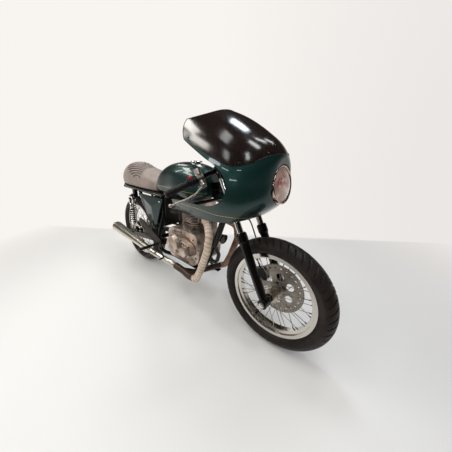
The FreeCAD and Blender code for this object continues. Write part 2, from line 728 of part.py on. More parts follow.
def caliper():
    """A caliper straddling the disc's rear edge, on the left leg's lug."""
    body = block(CALIPER["v"], (size.disc_offset - 21, size.disc_offset + 23), CALIPER["t"])
    body = body.makeFillet(8, [e for e in body.Edges
                               if abs(e.tangentAt(e.FirstParameter).y) > 0.9])
    slot = Part.makeCylinder(size.disc_radius + 6, size.disc_thickness + 5,
                             Vector(0, size.disc_offset - size.disc_thickness / 2 - 2.5, 0),
                             Y_AXIS)
    feature("front_caliper", body.cut(slot), fork_place)


caliper()


def brake_hose():
    """The front brake's hose, from the caliper up behind the left leg to the lower yoke."""
    caliper_top = Vector(-80, 62, CALIPER["t"][1] + gap)
    yoke_foot = Vector(-40, 50, size.lower_yoke - gap)
    route = [caliper_top, caliper_top + Vector(0, 0, 50), Vector(-64, leg_y - 4, 270),
             Vector(-60, leg_y - 6, 400), yoke_foot - Vector(0, 0, 40), yoke_foot]
    feature("brake_hose", tube(route, size.hose_radius, 60), fork_place)


brake_hose()

# Frame

fork_up = fork_turn.multVec(Z_AXIS)
fork_ahead = fork_turn.multVec(X_AXIS)


def on_steering_axis(height):
    """A point of the steering axis, by its height up the fork."""
    return front_axle + fork_up * height - fork_ahead * size.fork_offset


head_low = size.lower_yoke + size.lower_yoke_height + gap
head_high = size.upper_yoke - gap
rail_y = size.rail_spread / 2
post_y = size.post_spread / 2
cradle_y = size.cradle_spread / 2
case_front = size.crank_x + 76
case_rear = size.clutch_x - 132
stand_pivot = Vector(size.stand_pivot_x, size.stand_pivot_y, size.stand_pivot_z)
stand_splay = math.radians(size.stand_splay)
stand_hinge = Vector(0, math.cos(stand_splay), math.sin(stand_splay))


def main_frame():
    """The welded frame: head tube, backbone, one downtube that splits into a cradle and the
    posts round the swingarm's pivot. The bolted rear loop carries the seat and the shocks."""
    head = rod(on_steering_axis(head_low), on_steering_axis(head_high), size.head_tube_radius)
    bore = rod(on_steering_axis(head_low - 5), on_steering_axis(head_high + 5),
               size.stem_radius + gap)
    upper = on_steering_axis(head_high - 45)
    lower = on_steering_axis(head_low + 66)
    spine_end = Vector(size.pivot_x + 20, 0, size.rail_height + 30)
    backbone = tube([upper, Vector(upper.x - 130, 0, upper.z - 8), spine_end],
                    size.backbone_radius, 300)
    split = Vector(case_front + 36, 0, size.crank_z + 10)
    downtube = rod(lower, split, size.downtube_radius)
    cross = rod(Vector(spine_end.x, -rail_y, size.rail_height),
                Vector(spine_end.x, rail_y, size.rail_height), size.rail_radius)
    bridge = rod(spine_end, Vector(spine_end.x, 0, size.rail_height), size.backbone_radius)
    tail_corner = Vector(size.rail_end - 30, rail_y, size.rail_height)
    rails_front = spine_end.x - size.cradle_radius - gap
    rails = tube([Vector(rails_front, -rail_y, size.rail_height),
                  Vector(tail_corner.x, -rail_y, size.rail_height), tail_corner,
                  Vector(rails_front, rail_y, size.rail_height)], size.rail_radius, 60)
    parts = [head, backbone, downtube, cross, bridge]
    rear_parts = [rails]
    post_room = []
    low = size.cradle_height
    for side in (-1, 1):
        cradle_route = [
            Vector(split.x + 4, side * 6, split.z + 18),
            Vector(split.x - 2, side * cradle_y * 0.75, split.z - 75),
            Vector(case_front - 2, side * cradle_y, low), Vector(case_rear, side * cradle_y, low),
            Vector(size.pivot_x + 4, side * post_y, low + 34),
            Vector(size.pivot_x, side * post_y, size.pivot_z + 60),
            Vector(spine_end.x, side * rail_y, size.rail_height - 130),
            Vector(spine_end.x, side * rail_y, size.rail_height),
        ]
        cradle = tube(cradle_route, size.cradle_radius, 70)
        post_room.append(tube(cradle_route, size.cradle_radius + gap, 70))
        strut = tube([Vector(size.pivot_x - 2, side * post_y, size.pivot_z + 45),
                      Vector(size.pivot_x - 60, side * (rail_y + 4), size.pivot_z + 78),
                      Vector(size.shock_top_x + 60, side * rail_y, size.rail_height)],
                     size.rail_radius, 40)
        boss = rod(Vector(size.pivot_x, side * (size.arm_spread / 2 + size.arm_width / 2 + gap),
                          size.pivot_z),
                   Vector(size.pivot_x, side * (post_y + size.cradle_radius + 1),
                          size.pivot_z), 24)
        ear = block((size.shock_top_x - 15, size.shock_top_x + 15),
                    (side * (rail_y - 4), side * (size.shock_spread / 2 - 14 - gap)),
                    (size.shock_top_z - 15, size.rail_height + 4))
        stud = rod(Vector(size.shock_top_x, side * (rail_y + 2), size.shock_top_z),
                   Vector(size.shock_top_x, side * (size.shock_spread / 2 + 20), size.shock_top_z),
                   6)
        pad_low = block((case_rear + 30, case_rear + 60),
                        (side * (cradle_y - 8), side * (cradle_y + 8)),
                        (low, size.case_bottom - gap))
        pad_ahead = block((case_front - 80, case_front - 50),
                          (side * (cradle_y - 8), side * (cradle_y + 8)),
                          (low, size.case_bottom - gap))
        parts += [cradle, boss, pad_low, pad_ahead]
        rear_parts += [strut, ear, stud]
    front_lug = block((case_front + gap, split.x), (-16, 16),
                      (size.crank_z + 20, size.crank_z + 50))
    stay_lug = block((250, 262), (-12, 12), (size.tank_floor - 4, size.tank_floor + 62))
    lug_start = stand_pivot - stand_hinge * 42
    bracket = block((size.stand_pivot_x - 14, size.stand_pivot_x + 14),
                    (cradle_y - 4, stand_pivot.y - 32), (low - 38, low - 6))
    stand_lug = rod(lug_start, stand_pivot - stand_hinge * 13, 15)
    stand_pin = rod(lug_start + stand_hinge * 4, stand_pivot + stand_hinge * 15, 6)
    pin_head = rod(stand_pivot + stand_hinge * 13, stand_pivot + stand_hinge * 18, 11)
    whole = fused(parts + [front_lug, stay_lug, bracket, stand_lug, stand_pin,
                           pin_head])
    feature("main_frame", whole.cut(bore))
    feature("rear_loop", fused(rear_parts).cut(Part.makeCompound(post_room)))


main_frame()

# Swingarm, shocks and the rear brake


def swingarm():
    arm_y = size.arm_spread / 2
    half = size.arm_width / 2
    pivot = Vector(size.pivot_x, 0, size.pivot_z)
    rise = size.arm_height / 2
    parts = []
    for side in (-1, 1):
        outline = [
            (pivot.x + 18, pivot.z - rise), (pivot.x + 18, pivot.z + rise),
            (pivot.x - 40, pivot.z + rise), (rear_axle.x + 70, rear_axle.z + rise - 2),
            (rear_axle.x - 34, rear_axle.z + rise - 6), (rear_axle.x - 34, rear_axle.z - rise + 6),
            (rear_axle.x + 70, rear_axle.z - rise + 2), (pivot.x - 40, pivot.z - rise)]
        arm = plate(outline, side * (arm_y - half), side * (arm_y + half))
        mount = rod(Vector(size.shock_foot_x, side * arm_y, size.shock_foot_z),
                    Vector(size.shock_foot_x, side * (size.shock_spread / 2 + 16),
                           size.shock_foot_z), 6)
        ear = block((size.shock_foot_x - 15, size.shock_foot_x + 15),
                    (side * (arm_y - half + 2), side * (size.shock_spread / 2 - 19)),
                    (rear_axle.z, size.shock_foot_z + 14))
        collar = rod(Vector(size.shock_foot_x, side * arm_y, size.shock_foot_z),
                     Vector(size.shock_foot_x, side * (size.shock_spread / 2 - 11 - gap),
                            size.shock_foot_z), 7.5)
        slot = rod(Vector(rear_axle.x, side * 60, rear_axle.z),
                   Vector(rear_axle.x, side * 150, rear_axle.z), size.rear_axle_radius + gap)
        parts.append(fused([arm, ear, collar, mount]).cut(slot))
    tube_across = rod(Vector(pivot.x, -arm_y, pivot.z), Vector(pivot.x, arm_y, pivot.z), 15)
    brace = rod(Vector(pivot.x - 100, -arm_y, pivot.z - 8),
                Vector(pivot.x - 100, arm_y, pivot.z - 8), 17)
    feature("swingarm", fused(parts + [tube_across, brace]))


swingarm()


def shocks():
    """Twin shocks: eyes, damper body and spring seats, and the coil round them."""
    top = Vector(size.shock_top_x, 0, size.shock_top_z)
    foot = Vector(size.shock_foot_x, 0, size.shock_foot_z)
    axis = (top - foot).normalize()
    length = (top - foot).Length
    eye_width = 22
    seat = size.spring_radius + size.spring_wire
    dampers = []
    coils = []
    spring_from, spring_to = 78, length - 62
    for side in (-1, 1):
        y = side * size.shock_spread / 2
        lift = Vector(0, y, 0)
        eyes = []
        for spot in (foot, top):
            eyes.append(Part.makeCylinder(size.shock_eye_radius, eye_width,
                                          spot + Vector(0, y - eye_width / 2, 0), Y_AXIS))
        body = rod(foot + lift + axis * 8, foot + lift + axis * (length * 0.62),
                   size.shock_body_radius)
        shaft = rod(foot + lift + axis * (length * 0.6), foot + lift + axis * (length - 8), 7)
        low_seat = rod(foot + lift + axis * (spring_from - 9),
                       foot + lift + axis * (spring_from - gap), seat)
        high_seat = rod(foot + lift + axis * (spring_to + gap),
                        foot + lift + axis * (length - 24), seat)
        damper = fused(eyes + [body, shaft, low_seat, high_seat])
        for spot in (foot, top):
            damper = damper.cut(Part.makeCylinder(6 + gap, 60, spot + Vector(0, y - 30, 0),
                                                  Y_AXIS))
        dampers.append(damper)
        coils.append(coil(foot + lift + axis * spring_from, axis, spring_to - spring_from))
    feature("shock_dampers", Part.makeCompound(dampers))
    feature("shock_springs", Part.makeCompound(coils))


def coil(start, axis, height):
    """A coil spring of six-sided wire, with its ends just inside its seats."""
    wire = size.spring_wire
    rise = height - 2 * wire
    helix = Part.makeHelix(rise / size.spring_turns, rise, size.spring_radius)
    ring = Part.makePolygon([
        Vector(size.spring_radius + wire * math.cos(math.radians(60 * k)), 0,
               wire * math.sin(math.radians(60 * k))) for k in range(7)])
    spring = Part.Wire(helix).makePipeShell([ring], True, True)
    spring.Placement = FreeCAD.Placement(start + axis * wire,
                                         FreeCAD.Rotation(Z_AXIS, axis))
    return spring


shocks()

# Rear spindle: a plain bar through the arms, with a nut each side.
arm_face = "(arm_spread / 2 + arm_width / 2 + running_gap)"
revolved_body("rear_axle", [
    (f"-{arm_face} - 12", "0"),
    (f"{arm_face} + 12", "0"),
    (f"{arm_face} + 12", "rear_axle_radius + 6"),
    (arm_face, "rear_axle_radius + 6"),
    (arm_face, "rear_axle_radius"),
    (f"-{arm_face}", "rear_axle_radius"),
    (f"-{arm_face}", "rear_axle_radius + 6"),
    (f"-{arm_face} - 12", "rear_axle_radius + 6"),
], rear_place)


def brake_plate():
    """The fixed plate that closes the drum, with its cam lever and its torque rod."""
    face = -size.drum_face - 2 * gap
    arm_in = -(size.arm_spread / 2 - size.arm_width / 2 - gap)
    axle_hole = size.rear_axle_radius + gap
    dish = Part.makeCone(size.drum_radius - 2, size.drum_radius - 22, 12, Vector(0, face, 0),
                         -Y_AXIS)
    boss = Part.makeCylinder(24, face - arm_in - 3, Vector(0, face - 3, 0), -Y_AXIS)
    cam = Part.makeCylinder(9, 30, Vector(20, face - 4, -50), -Y_AXIS)
    lever = plate([(12, -58), (28, -58), (26, -130), (14, -130)], face - 26, face - 32)
    lug = Part.makeCylinder(11, 19, Vector(52, face - 5, -30), -Y_AXIS)
    rod_end = Vector(230, face - 16, -8)
    torque = rod(Vector(52, face - 16, -30), rod_end, 6)
    eye = Part.makeCylinder(10, 14, Vector(rod_end.x, face - 9, rod_end.z), -Y_AXIS)
    whole = fused([dish, boss, cam, lever, lug, torque, eye])
    whole = whole.cut(Part.makeCylinder(axle_hole, 200, Vector(0, 50, 0), -Y_AXIS))
    feature("rear_brake_plate", whole, rear_place)


brake_plate()


def chain():
    """The drive chain as one fixed loop round both sprockets."""
    small = sprocket_radius(size.front_teeth)
    large = sprocket_radius(size.rear_teeth)
    drive = Vector(size.drive_shaft_x, 0, size.drive_shaft_z)
    span = drive - rear_axle
    distance = span.Length
    lean_up = math.atan2(span.z, span.x)
    spread = math.acos((large - small) / distance)

    def loop(offset):
        up, down = lean_up + spread, lean_up - spread
        spots = []
        for centre, radius, angle in ((rear_axle, large, up), (drive, small, up),
                                      (drive, small, down), (rear_axle, large, down)):
            reach = radius + offset
            spots.append(centre + Vector(reach * math.cos(angle), 0, reach * math.sin(angle)))
        nose = drive + Vector(math.cos(lean_up), 0, math.sin(lean_up)) * (small + offset)
        tail = rear_axle - Vector(math.cos(lean_up), 0, math.sin(lean_up)) * (large + offset)
        return Part.Wire([
            Part.LineSegment(spots[0], spots[1]).toShape(),
            Part.Arc(spots[1], nose, spots[2]).toShape(),
            Part.LineSegment(spots[2], spots[3]).toShape(),
            Part.Arc(spots[3], tail, spots[0]).toShape()])

    def band(outer, inner, y_from, y_to):
        ring = Part.Face(loop(outer)).cut(Part.Face(loop(inner)))
        solid = ring.extrude(Vector(0, y_to - y_from, 0))
        solid.translate(Vector(0, y_from, 0))
        return solid

    half_plate = size.plate_height / 2
    inside = size.chain_inner_width / 2
    line = size.chain_line
    rollers = band(size.roller_radius, -size.roller_radius, line - inside, line + inside)
    sides = [band(half_plate, -half_plate, line - inside - size.chain_plate, line - inside),
             band(half_plate, -half_plate, line + inside, line + inside + size.chain_plate)]
    feature("drive_chain", fused([rollers] + sides))


chain()

# Engine: an air-cooled upright twin in unit with its gearbox.

half_case = "(case_width / 2)"
crankcase = padded_body("crankcase", [
    ("crank_x + 76", "cylinder_foot - 62"),
    ("crank_x + 76", "crank_z - 25"),
    ("crank_x - 4", "case_bottom", ("crank_x + 52", "case_bottom + 32")),
    ("clutch_x - 96", "case_bottom"),
    ("clutch_x - 132", "case_bottom + 40", ("clutch_x - 124", "case_bottom + 10")),
    ("clutch_x - 132", "clutch_z + 30"),
    ("clutch_x - 60", "cylinder_foot - 8", ("clutch_x - 106", "clutch_z + 82")),
    ("cylinder_x - 66", "cylinder_foot - 2"),
    ("cylinder_x - 66", "cylinder_foot"),
    ("cylinder_x + 66", "cylinder_foot"),
], "case_width", at(0, size.case_width / 2, 0))


def chain_pocket(body):
    """The recess in the crankcase's left side where the chain runs round its sprocket."""
    reach = "(drive_shaft_x + 57)"
    sketch = closed_sketch(body, "XZ_Plane", [
        ("clutch_x - 140", "drive_shaft_z - 76"),
        ("drive_shaft_x", "drive_shaft_z - 57"),
        ("drive_shaft_x", "drive_shaft_z + 57", (reach, "drive_shaft_z")),
        ("clutch_x - 140", "drive_shaft_z + 57"),
    ], "chain_pocket_profile")
    pocket = body.newObject("PartDesign::Pocket", "chain_pocket")
    pocket.Profile = sketch
    pocket.setExpression("Length", bound("case_width / 2 - chain_line + 12"))
    pocket.Reversed = True


chain_pocket(crankcase)


def hull_of_circles(circles, start, end):
    """A cover whose outline wraps two circles (x, z, radius), between two Y values."""
    (x1, z1, r1), (x2, z2, r2) = circles
    gap_x, gap_z = x2 - x1, z2 - z1
    distance = math.hypot(gap_x, gap_z)
    along = math.atan2(gap_z, gap_x)
    spread = math.acos((r1 - r2) / distance)
    flank = [Vector(x + r * math.cos(angle), start, z + r * math.sin(angle))
             for x, z, r, angle in ((x1, z1, r1, along + spread), (x2, z2, r2, along + spread),
                                    (x2, z2, r2, along - spread), (x1, z1, r1, along - spread))]
    nose = Vector(x2 + r2 * math.cos(along), start, z2 + r2 * math.sin(along))
    tail = Vector(x1 - r1 * math.cos(along), start, z1 - r1 * math.sin(along))
    outline = Part.Wire([
        Part.LineSegment(flank[0], flank[1]).toShape(),
        Part.Arc(flank[1], nose, flank[2]).toShape(),
        Part.LineSegment(flank[2], flank[3]).toShape(),
        Part.Arc(flank[3], tail, flank[0]).toShape()])
    return Part.Face(outline).extrude(Vector(0, end - start, 0))


def side_covers():
    """The engine's side covers: clutch and points on the right, alternator and final drive on
    the left."""
    face = size.case_width / 2 + gap
    clutch = (size.clutch_x, size.clutch_z, size.clutch_cover_radius)
    crank = (size.crank_x, size.crank_z, size.points_cover_radius + 14)
    right = hull_of_circles([clutch, crank], -face, -face - 42)
    dome = Part.makeCone(size.clutch_cover_radius - 5, size.clutch_cover_radius - 16, 24,
                         Vector(size.clutch_x, -face - 42, size.clutch_z), -Y_AXIS)
    points = Part.makeCylinder(size.points_cover_radius, 36,
                               Vector(size.crank_x, -face - 42, size.crank_z), -Y_AXIS)
    right = fused([right, dome, points])
    alternator = (size.crank_x, size.crank_z, size.clutch_cover_radius - 11)
    drive = (size.drive_shaft_x + 30, size.drive_shaft_z, 52)
    left = hull_of_circles([drive, alternator], face, face + 34)
    cap = Part.makeCone(size.clutch_cover_radius - 16, size.clutch_cover_radius - 24, 20,
                        Vector(size.crank_x, face + 34, size.crank_z), Y_AXIS)
    left = fused([left, cap])
    rims = [e for e in right.Edges if e.BoundBox.YMax < -face - 60 and e.BoundBox.YLength < 0.1]
    right = right.makeFillet(4, rims)
    feature("engine_side_covers", Part.makeCompound([right, left]))


side_covers()


def rounded_slab(x_half, y_half, corner, foot, height):
    """A slab with rounded corners about the cylinders' axis."""
    slab = block((size.cylinder_x - x_half, size.cylinder_x + x_half), (-y_half, y_half),
                 (foot, foot + height))
    upright = [e for e in slab.Edges if abs(e.tangentAt(e.FirstParameter).z) > 0.9]
    return slab.makeFillet(corner, upright)


def finned(foot, height):
    """A finned casting: a plain core and evenly pitched fins round it."""
    core_x = size.barrel_depth / 2
    core_y = size.barrel_width / 2
    parts = [rounded_slab(core_x, core_y, 30, foot, height)]
    count = int((height - size.fin_thickness) / size.fin_pitch)
    for number in range(count):
        level = foot + size.fin_pitch * (number + 0.6)
        parts.append(rounded_slab(core_x + size.fin_reach, core_y + size.fin_reach, 42, level,
                                  size.fin_thickness))
    return fused(parts)


head_foot = size.cylinder_foot + size.cylinder_height + 2 * gap
cover_foot = head_foot + size.head_height + gap
feature("cylinder_block", finned(size.cylinder_foot + gap, size.cylinder_height))


def cylinder_head():
    """The head: fins, two exhaust stubs ahead and two inlet stubs behind."""
    casting = finned(head_foot, size.head_height)
    parts = [casting]
    face = size.cylinder_x + size.barrel_depth / 2
    back = size.cylinder_x - size.barrel_depth / 2
    for side in (-1, 1):
        y = side * size.port_spread / 2
        parts.append(rod(Vector(face - 4, y, size.port_height),
                         Vector(face + 26, y, size.port_height), size.header_radius + 2))
        parts.append(rod(Vector(back + 4, y, size.port_height + 10),
                         Vector(back - 24, y, size.port_height + 10), 20))
    feature("cylinder_head", fused(parts))


cylinder_head()


def cam_cover():
    """The rocker cover: a low box with its upper edges rounded."""
    box = rounded_slab(size.barrel_depth / 2 + 2, size.barrel_width / 2 + 4, 24, cover_foot,
                       size.cam_cover_height)
    top = [e for e in box.Edges if e.BoundBox.ZMin > cover_foot + size.cam_cover_height - 0.1]
    feature("cam_cover", box.makeFillet(14, top))


cam_cover()


def carburettors():
    """A carburettor on each inlet stub, with its float bowl below and its cone filter behind."""
    back = size.cylinder_x - size.barrel_depth / 2 - 24 - gap
    level = size.port_height + 10
    each = []
    for side in (-1, 1):
        y = side * size.port_spread / 2
        throat = rod(Vector(back, y, level), Vector(back - 70, y, level), 22)
        dome = Part.makeCylinder(21, 52, Vector(back - 34, y, level + 4))
        bowl = Part.makeCylinder(24, 44, Vector(back - 34, y, level - 56))
        filter_start = Vector(back - 66, y, level)
        cone = Part.makeCone(24, 33, 62, filter_start, Vector(-1, 0, -0.08))
        each.append(fused([throat, dome, bowl, cone]))
    feature("carburettors", Part.makeCompound(each))


carburettors()

# Exhaust: two headers swept down ahead of the crankcase. The left one crosses under the engine
# and both join in a collector on the right.


def header_points(side):
    """The run of a header from its port to the foot of the engine."""
    y = side * size.port_spread / 2
    port = size.cylinder_x + size.barrel_depth / 2 + 26 + gap
    return [
        Vector(port, y, size.port_height), Vector(port + 24, y, size.port_height),
        Vector(port + 60, y * 1.2, size.port_height - 8),
        Vector(338, side * 128, 590), Vector(334, side * 146, 490),
        Vector(276, side * 150, 335)]


collector_start = Vector(92, -148, 262)
tail_start = Vector(20, -152, 270)
silencer_start = Vector(-262, -192, 312)
silencer_end = Vector(-925, -205, 372)
silencer_way = (silencer_end - silencer_start).normalize()


def headers():
    radius = size.header_radius
    right = tube(header_points(-1) + [Vector(238, -150, 262), Vector(170, -149, 250),
                                      collector_start, tail_start], radius, 60)
    left = tube(header_points(1) + [Vector(232, 148, 240), Vector(190, 90, 232),
                                    Vector(160, 0, 232), Vector(140, -80, 234),
                                    collector_start, tail_start], radius, 60)
    collector = rod(collector_start, tail_start, radius + 6)
    feature("exhaust_headers", fused([right, left, collector]))


headers()


def turned(profile):
    """A profile of (radius, height) corners turned about Z."""
    corners = [Vector(radius, 0, height) for radius, height in profile]
    return Part.Face(Part.makePolygon(corners + corners[:1])).revolve(
        Vector(0, 0, 0), Z_AXIS, 360)


def silencer():
    """The tail pipe and a long megaphone, and the short reverse cone that closes its end."""
    way = (tail_start - collector_start).normalize()
    start = tail_start + way * gap
    pipe = tube([start, start + way * 60, silencer_start - silencer_way * 70,
                 silencer_start + silencer_way * 20], size.tail_pipe_radius, 200)
    length = size.silencer_length
    seam = length - size.reverse_cone
    outlet = size.outlet_radius
    megaphone = [(0, 0), (size.tail_pipe_radius + 3, 0), (size.tail_pipe_radius + 5, 40),
                 (size.silencer_radius - 1, seam - 18), (size.silencer_radius, seam - 8),
                 (size.silencer_radius, seam), (outlet, seam), (outlet, seam - 40),
                 (0, seam - 40)]
    cone = [(outlet + 0.01, seam + gap), (size.silencer_radius - 1.5, seam + gap),
            (size.silencer_radius - 4, seam + 8), (outlet + 4, length), (outlet, length)]
    place = FreeCAD.Placement(silencer_start, FreeCAD.Rotation(Z_AXIS, silencer_way))
    shell, tip = [turned(profile) for profile in (megaphone, cone)]
    shell.Placement = place
    feature("silencer", pipe.fuse(shell).removeSplitter())
    feature("silencer_tip", tip, place)


silencer()

# Tank, seat and panels


def fuel_tank():
    """The tank: full shoulders ahead, waisted for the knees, and hollowed below for the
    backbone."""
    half = size.tank_width / 2
    top = size.tank_top
    floor = size.tank_floor
    rear, front = size.tank_rear, size.tank_front
    span = front - rear
    waist = 1 - size.knee_dent / half
    # each station: share of the length, share of the width, drop of the top, rise of the floor
    # and how square the lower half is
    stations = [(0.0, 0.76, 104, -19, 6.0), (0.10, waist, 48, -19, 6.0),
                (0.25, waist + 0.03, 14, -14, 5.0), (0.45, 0.97, 0, -8, 3.8),
                (0.65, 1.0, 0, -27, 3.6), (0.84, 0.92, 16, -20, 3.4), (1.0, 0.62, 52, 14, 3.2)]
    sections = []
    for share, wide, drop_top, rise, lower in stations:
        foot = floor + rise
        sections.append(oval_section(rear + span * share, half * wide, top - drop_top,
                                     foot + 52, foot, 2.5, lower))
    body = loft(sections)
    tunnel = block((rear - 10, front + 10), (-size.tunnel_width / 2, size.tunnel_width / 2),
                   (floor - 60, size.tunnel_top))
    body = body.cut(tunnel)
    recess = Part.makeCylinder(size.cap_radius + gap, 60, Vector(size.cap_x, 0, top - 16))
    feature("fuel_tank", body.cut(recess))


fuel_tank()

revolved_body("filler_cap", [
    ("0", "0"),
    ("cap_radius", "0"),
    ("cap_radius", "20"),
    ("cap_radius - 7", "27", ("cap_radius - 2", "25")),
    ("0", "29"),
], at(size.cap_x, 0, size.tank_top - 16 + gap), "XZ_Plane", "V_Axis")


def seat_section(x, half_width, top):
    """A cross-section of the seat, full at the base and domed above."""
    floor = size.seat_floor
    return oval_section(x, half_width, top, floor + 34, floor, 2.4, 5.0)


def seat_stations():
    """The seat's plan and profile: a dished saddle that rises into the tail hump."""
    front, tail = size.tank_rear - 2 * gap, size.seat_tail
    half = size.seat_width / 2
    hump = size.hump_x
    return [
        (front, half * 0.80, size.saddle_top - 4), (front - 70, half * 0.92, size.saddle_top),
        (front - 170, half * 0.99, size.saddle_top + 18), (hump + 110, half, size.hump_top - 26),
        (hump + 20, half, size.hump_top), (hump - 70, half * 0.95, size.hump_top - 8),
        (hump - 150, half * 0.80, size.hump_top - 46), (tail + 32, half * 0.60,
                                                        size.hump_top - 98),
        (tail, half * 0.34, size.seat_floor + 52)]


def seat_cushion():
    """The cushion, cut flat where it lies on its pan."""
    body = loft([seat_section(*station) for station in seat_stations()])
    half = size.seat_width
    below = block((size.seat_tail - 50, 0), (-half, half), (size.seat_floor - 200,
                                                           size.seat_floor))
    feature("seat_cushion", body.cut(below))


seat_cushion()


def seat_pan():
    """The moulded pan under the seat, a little wider than the cushion, with the tail lamp's
    mount behind."""
    half = size.seat_width / 2 + 3
    front, tail = size.pan_front, size.seat_tail - 6
    plan = [Vector(front, 0, 0), Vector(front, half * 0.86, 0), Vector(-300, half * 0.98, 0),
            Vector(-520, half, 0), Vector(-700, half * 0.9, 0), Vector(-800, half * 0.66, 0),
            Vector(tail, half * 0.26, 0)]
    curve = Part.BSplineCurve()
    curve.interpolate(plan[1:])
    other = Part.BSplineCurve()
    other.interpolate([Vector(p.x, -p.y, 0) for p in plan[1:]])
    outline = Part.Wire(Part.__sortEdges__([
        curve.toShape(), other.toShape(),
        Part.LineSegment(plan[1], Vector(plan[1].x, -plan[1].y, 0)).toShape(),
        Part.LineSegment(plan[-1], Vector(plan[-1].x, -plan[-1].y, 0)).toShape()]))
    pan = Part.Face(outline).extrude(Vector(0, 0, size.pan_thickness))
    pan.translate(Vector(0, 0, size.seat_floor - gap - size.pan_thickness))
    spine = size.backbone_radius + 4
    pan = pan.cut(block((size.pivot_x - 8, front + 1), (-spine, spine), (700, 800)))
    feature("seat_pan", pan)


seat_pan()


def side_panels():
    """Triangular side panels, each a pressed sheet with a raised point where its creases meet."""
    corners = [(size.panel_rear, size.panel_top - 6), (size.panel_front, size.panel_top),
               (size.panel_tip_x + 34, size.panel_tip_z), (size.panel_tip_x - 14,
                                                          size.panel_tip_z + 6)]
    apex = Vector(-262, -(size.panel_inner + size.panel_rise), 650)
    inner = size.panel_inner
    base = [Vector(x, -inner, z) for x, z in corners]
    lip = [Vector(x, -inner - 8, z) for x, z in corners]
    faces = [Part.Face(Part.makePolygon(base + base[:1]))]
    for index in range(len(base)):
        after = (index + 1) % len(base)
        faces.append(Part.Face(Part.makePolygon(
            [base[index], base[after], lip[after], lip[index], base[index]])))
        faces.append(Part.Face(Part.makePolygon([lip[index], lip[after], apex, lip[index]])))
    skin = Part.makeSolid(Part.makeShell(faces))
    if skin.Volume < 0:
        skin.reverse()
    pegs = [rod(Vector(x, -85 - gap, z), Vector(x, -inner - 4, z), 6)
            for x, z in ((-200, 690), (-340, 690), (-300, 540))]
    right = fused([skin] + pegs)
    feature("side_panels", Part.makeCompound([right, mirrored(right)]))


side_panels()


def battery_box():
    """The battery and tool box between the side panels, hung from the seat's rails."""
    box = block((-370, -184), (-85, 85), (500, 700))
    tabs = [block((x - 12, x + 12), (side * 79, side * 85),
                  (690, size.rail_height - size.rail_radius + 3)) for x in (-220, -340)
            for side in (-1, 1)]
    feature("battery_box", fused([box] + tabs))


battery_box()

# Fairing, screen and headlamp


def fairing_form(wall):
    """The fairing's outer form, or its inner one when a wall is taken off."""
    half = size.fairing_width / 2
    nose = size.fairing_nose
    # each station: distance behind the nose, share of the half width, top and floor
    stations = [(0, 0.34, 1024, 828), (6, 0.44, 1042, 817), (20, 0.57, 1062, 799),
                (46, 0.72, 1089, 774), (92, 0.88, 1124, 734), (150, 0.965, 1161, 690),
                (276, 1.0, 1222, 630), (396, 0.985, 1256, 616), (626, 0.88, 1284, 616)]
    sections = []
    for back, wide, top, floor in stations:
        sections.append(oval_section(nose - back - (wall if back == 0 else 0), half * wide - wall,
                                     top - wall, 905, floor + wall, 2.2, 2.4))
    return loft(sections)


JOINT = [(730, 1046), (690, 1045), (663, 1038), (617, 1004), (576, 989), (534, 988), (479, 1003),
         (404, 1031), (315, 1065), (228, 1098)]


def spline_edge(points, lift=0.0):
    curve = Part.BSplineCurve()
    curve.interpolate([Vector(x, -300, z + lift) for x, z in points])
    return curve.toShape()


def line_edge(start, end, lift=(0.0, 0.0)):
    return Part.LineSegment(Vector(start[0], -300, start[1] + lift[0]),
                            Vector(end[0], -300, end[1] + lift[1])).toShape()


def side_cut(edges):
    """Everything inside a side view's outline."""
    return Part.Face(Part.Wire(Part.__sortEdges__(edges))).extrude(Vector(0, 600, 0))


def fairing_and_screen():
    """The fairing's shell and the screen are two cuts of one wall, split along their joint."""
    wall = fairing_form(0).cut(fairing_form(size.fairing_wall))
    opening = [(228, 1094), (335, 1044), (424, 1003), (500, 962), (531, 908), (514, 853),
               (475, 819), (420, 798), (353, 791), (243, 788), (160, 782), (88, 774)]
    lower = [(92, 708), (180, 704), (278, 705), (418, 710), (495, 718), (558, 735), (610, 757),
             (655, 785), (700, 820)]
    shell = wall.common(side_cut([
        spline_edge(JOINT), line_edge(JOINT[-1], opening[0]), spline_edge(opening),
        line_edge(opening[-1], lower[0]), spline_edge(lower), line_edge(lower[-1], (730, 820)),
        line_edge((730, 820), JOINT[0])]))
    lamp_hole = rod(Vector(size.lamp_x - 60, 0, size.lamp_z),
                    Vector(size.fairing_nose + 40, 0, size.lamp_z), size.lamp_radius + 3)
    feature("fairing", shell.cut(lamp_hole))
    joint_gap = 0.4
    trailing = [(JOINT[-1][0], JOINT[-1][1] + joint_gap), (206, 1133), (198, 1164), (203, 1190)]
    crown = [trailing[-1], (252, 1197), (300, 1206), (335, 1218), (362, 1240), (396, 1300)]
    screen = wall.common(side_cut([
        spline_edge(JOINT, joint_gap), spline_edge(trailing), spline_edge(crown),
        line_edge(crown[-1], (730, 1300)),
        line_edge((730, 1300), (JOINT[0][0], JOINT[0][1] + joint_gap))]))
    feature("windscreen", screen)


fairing_and_screen()

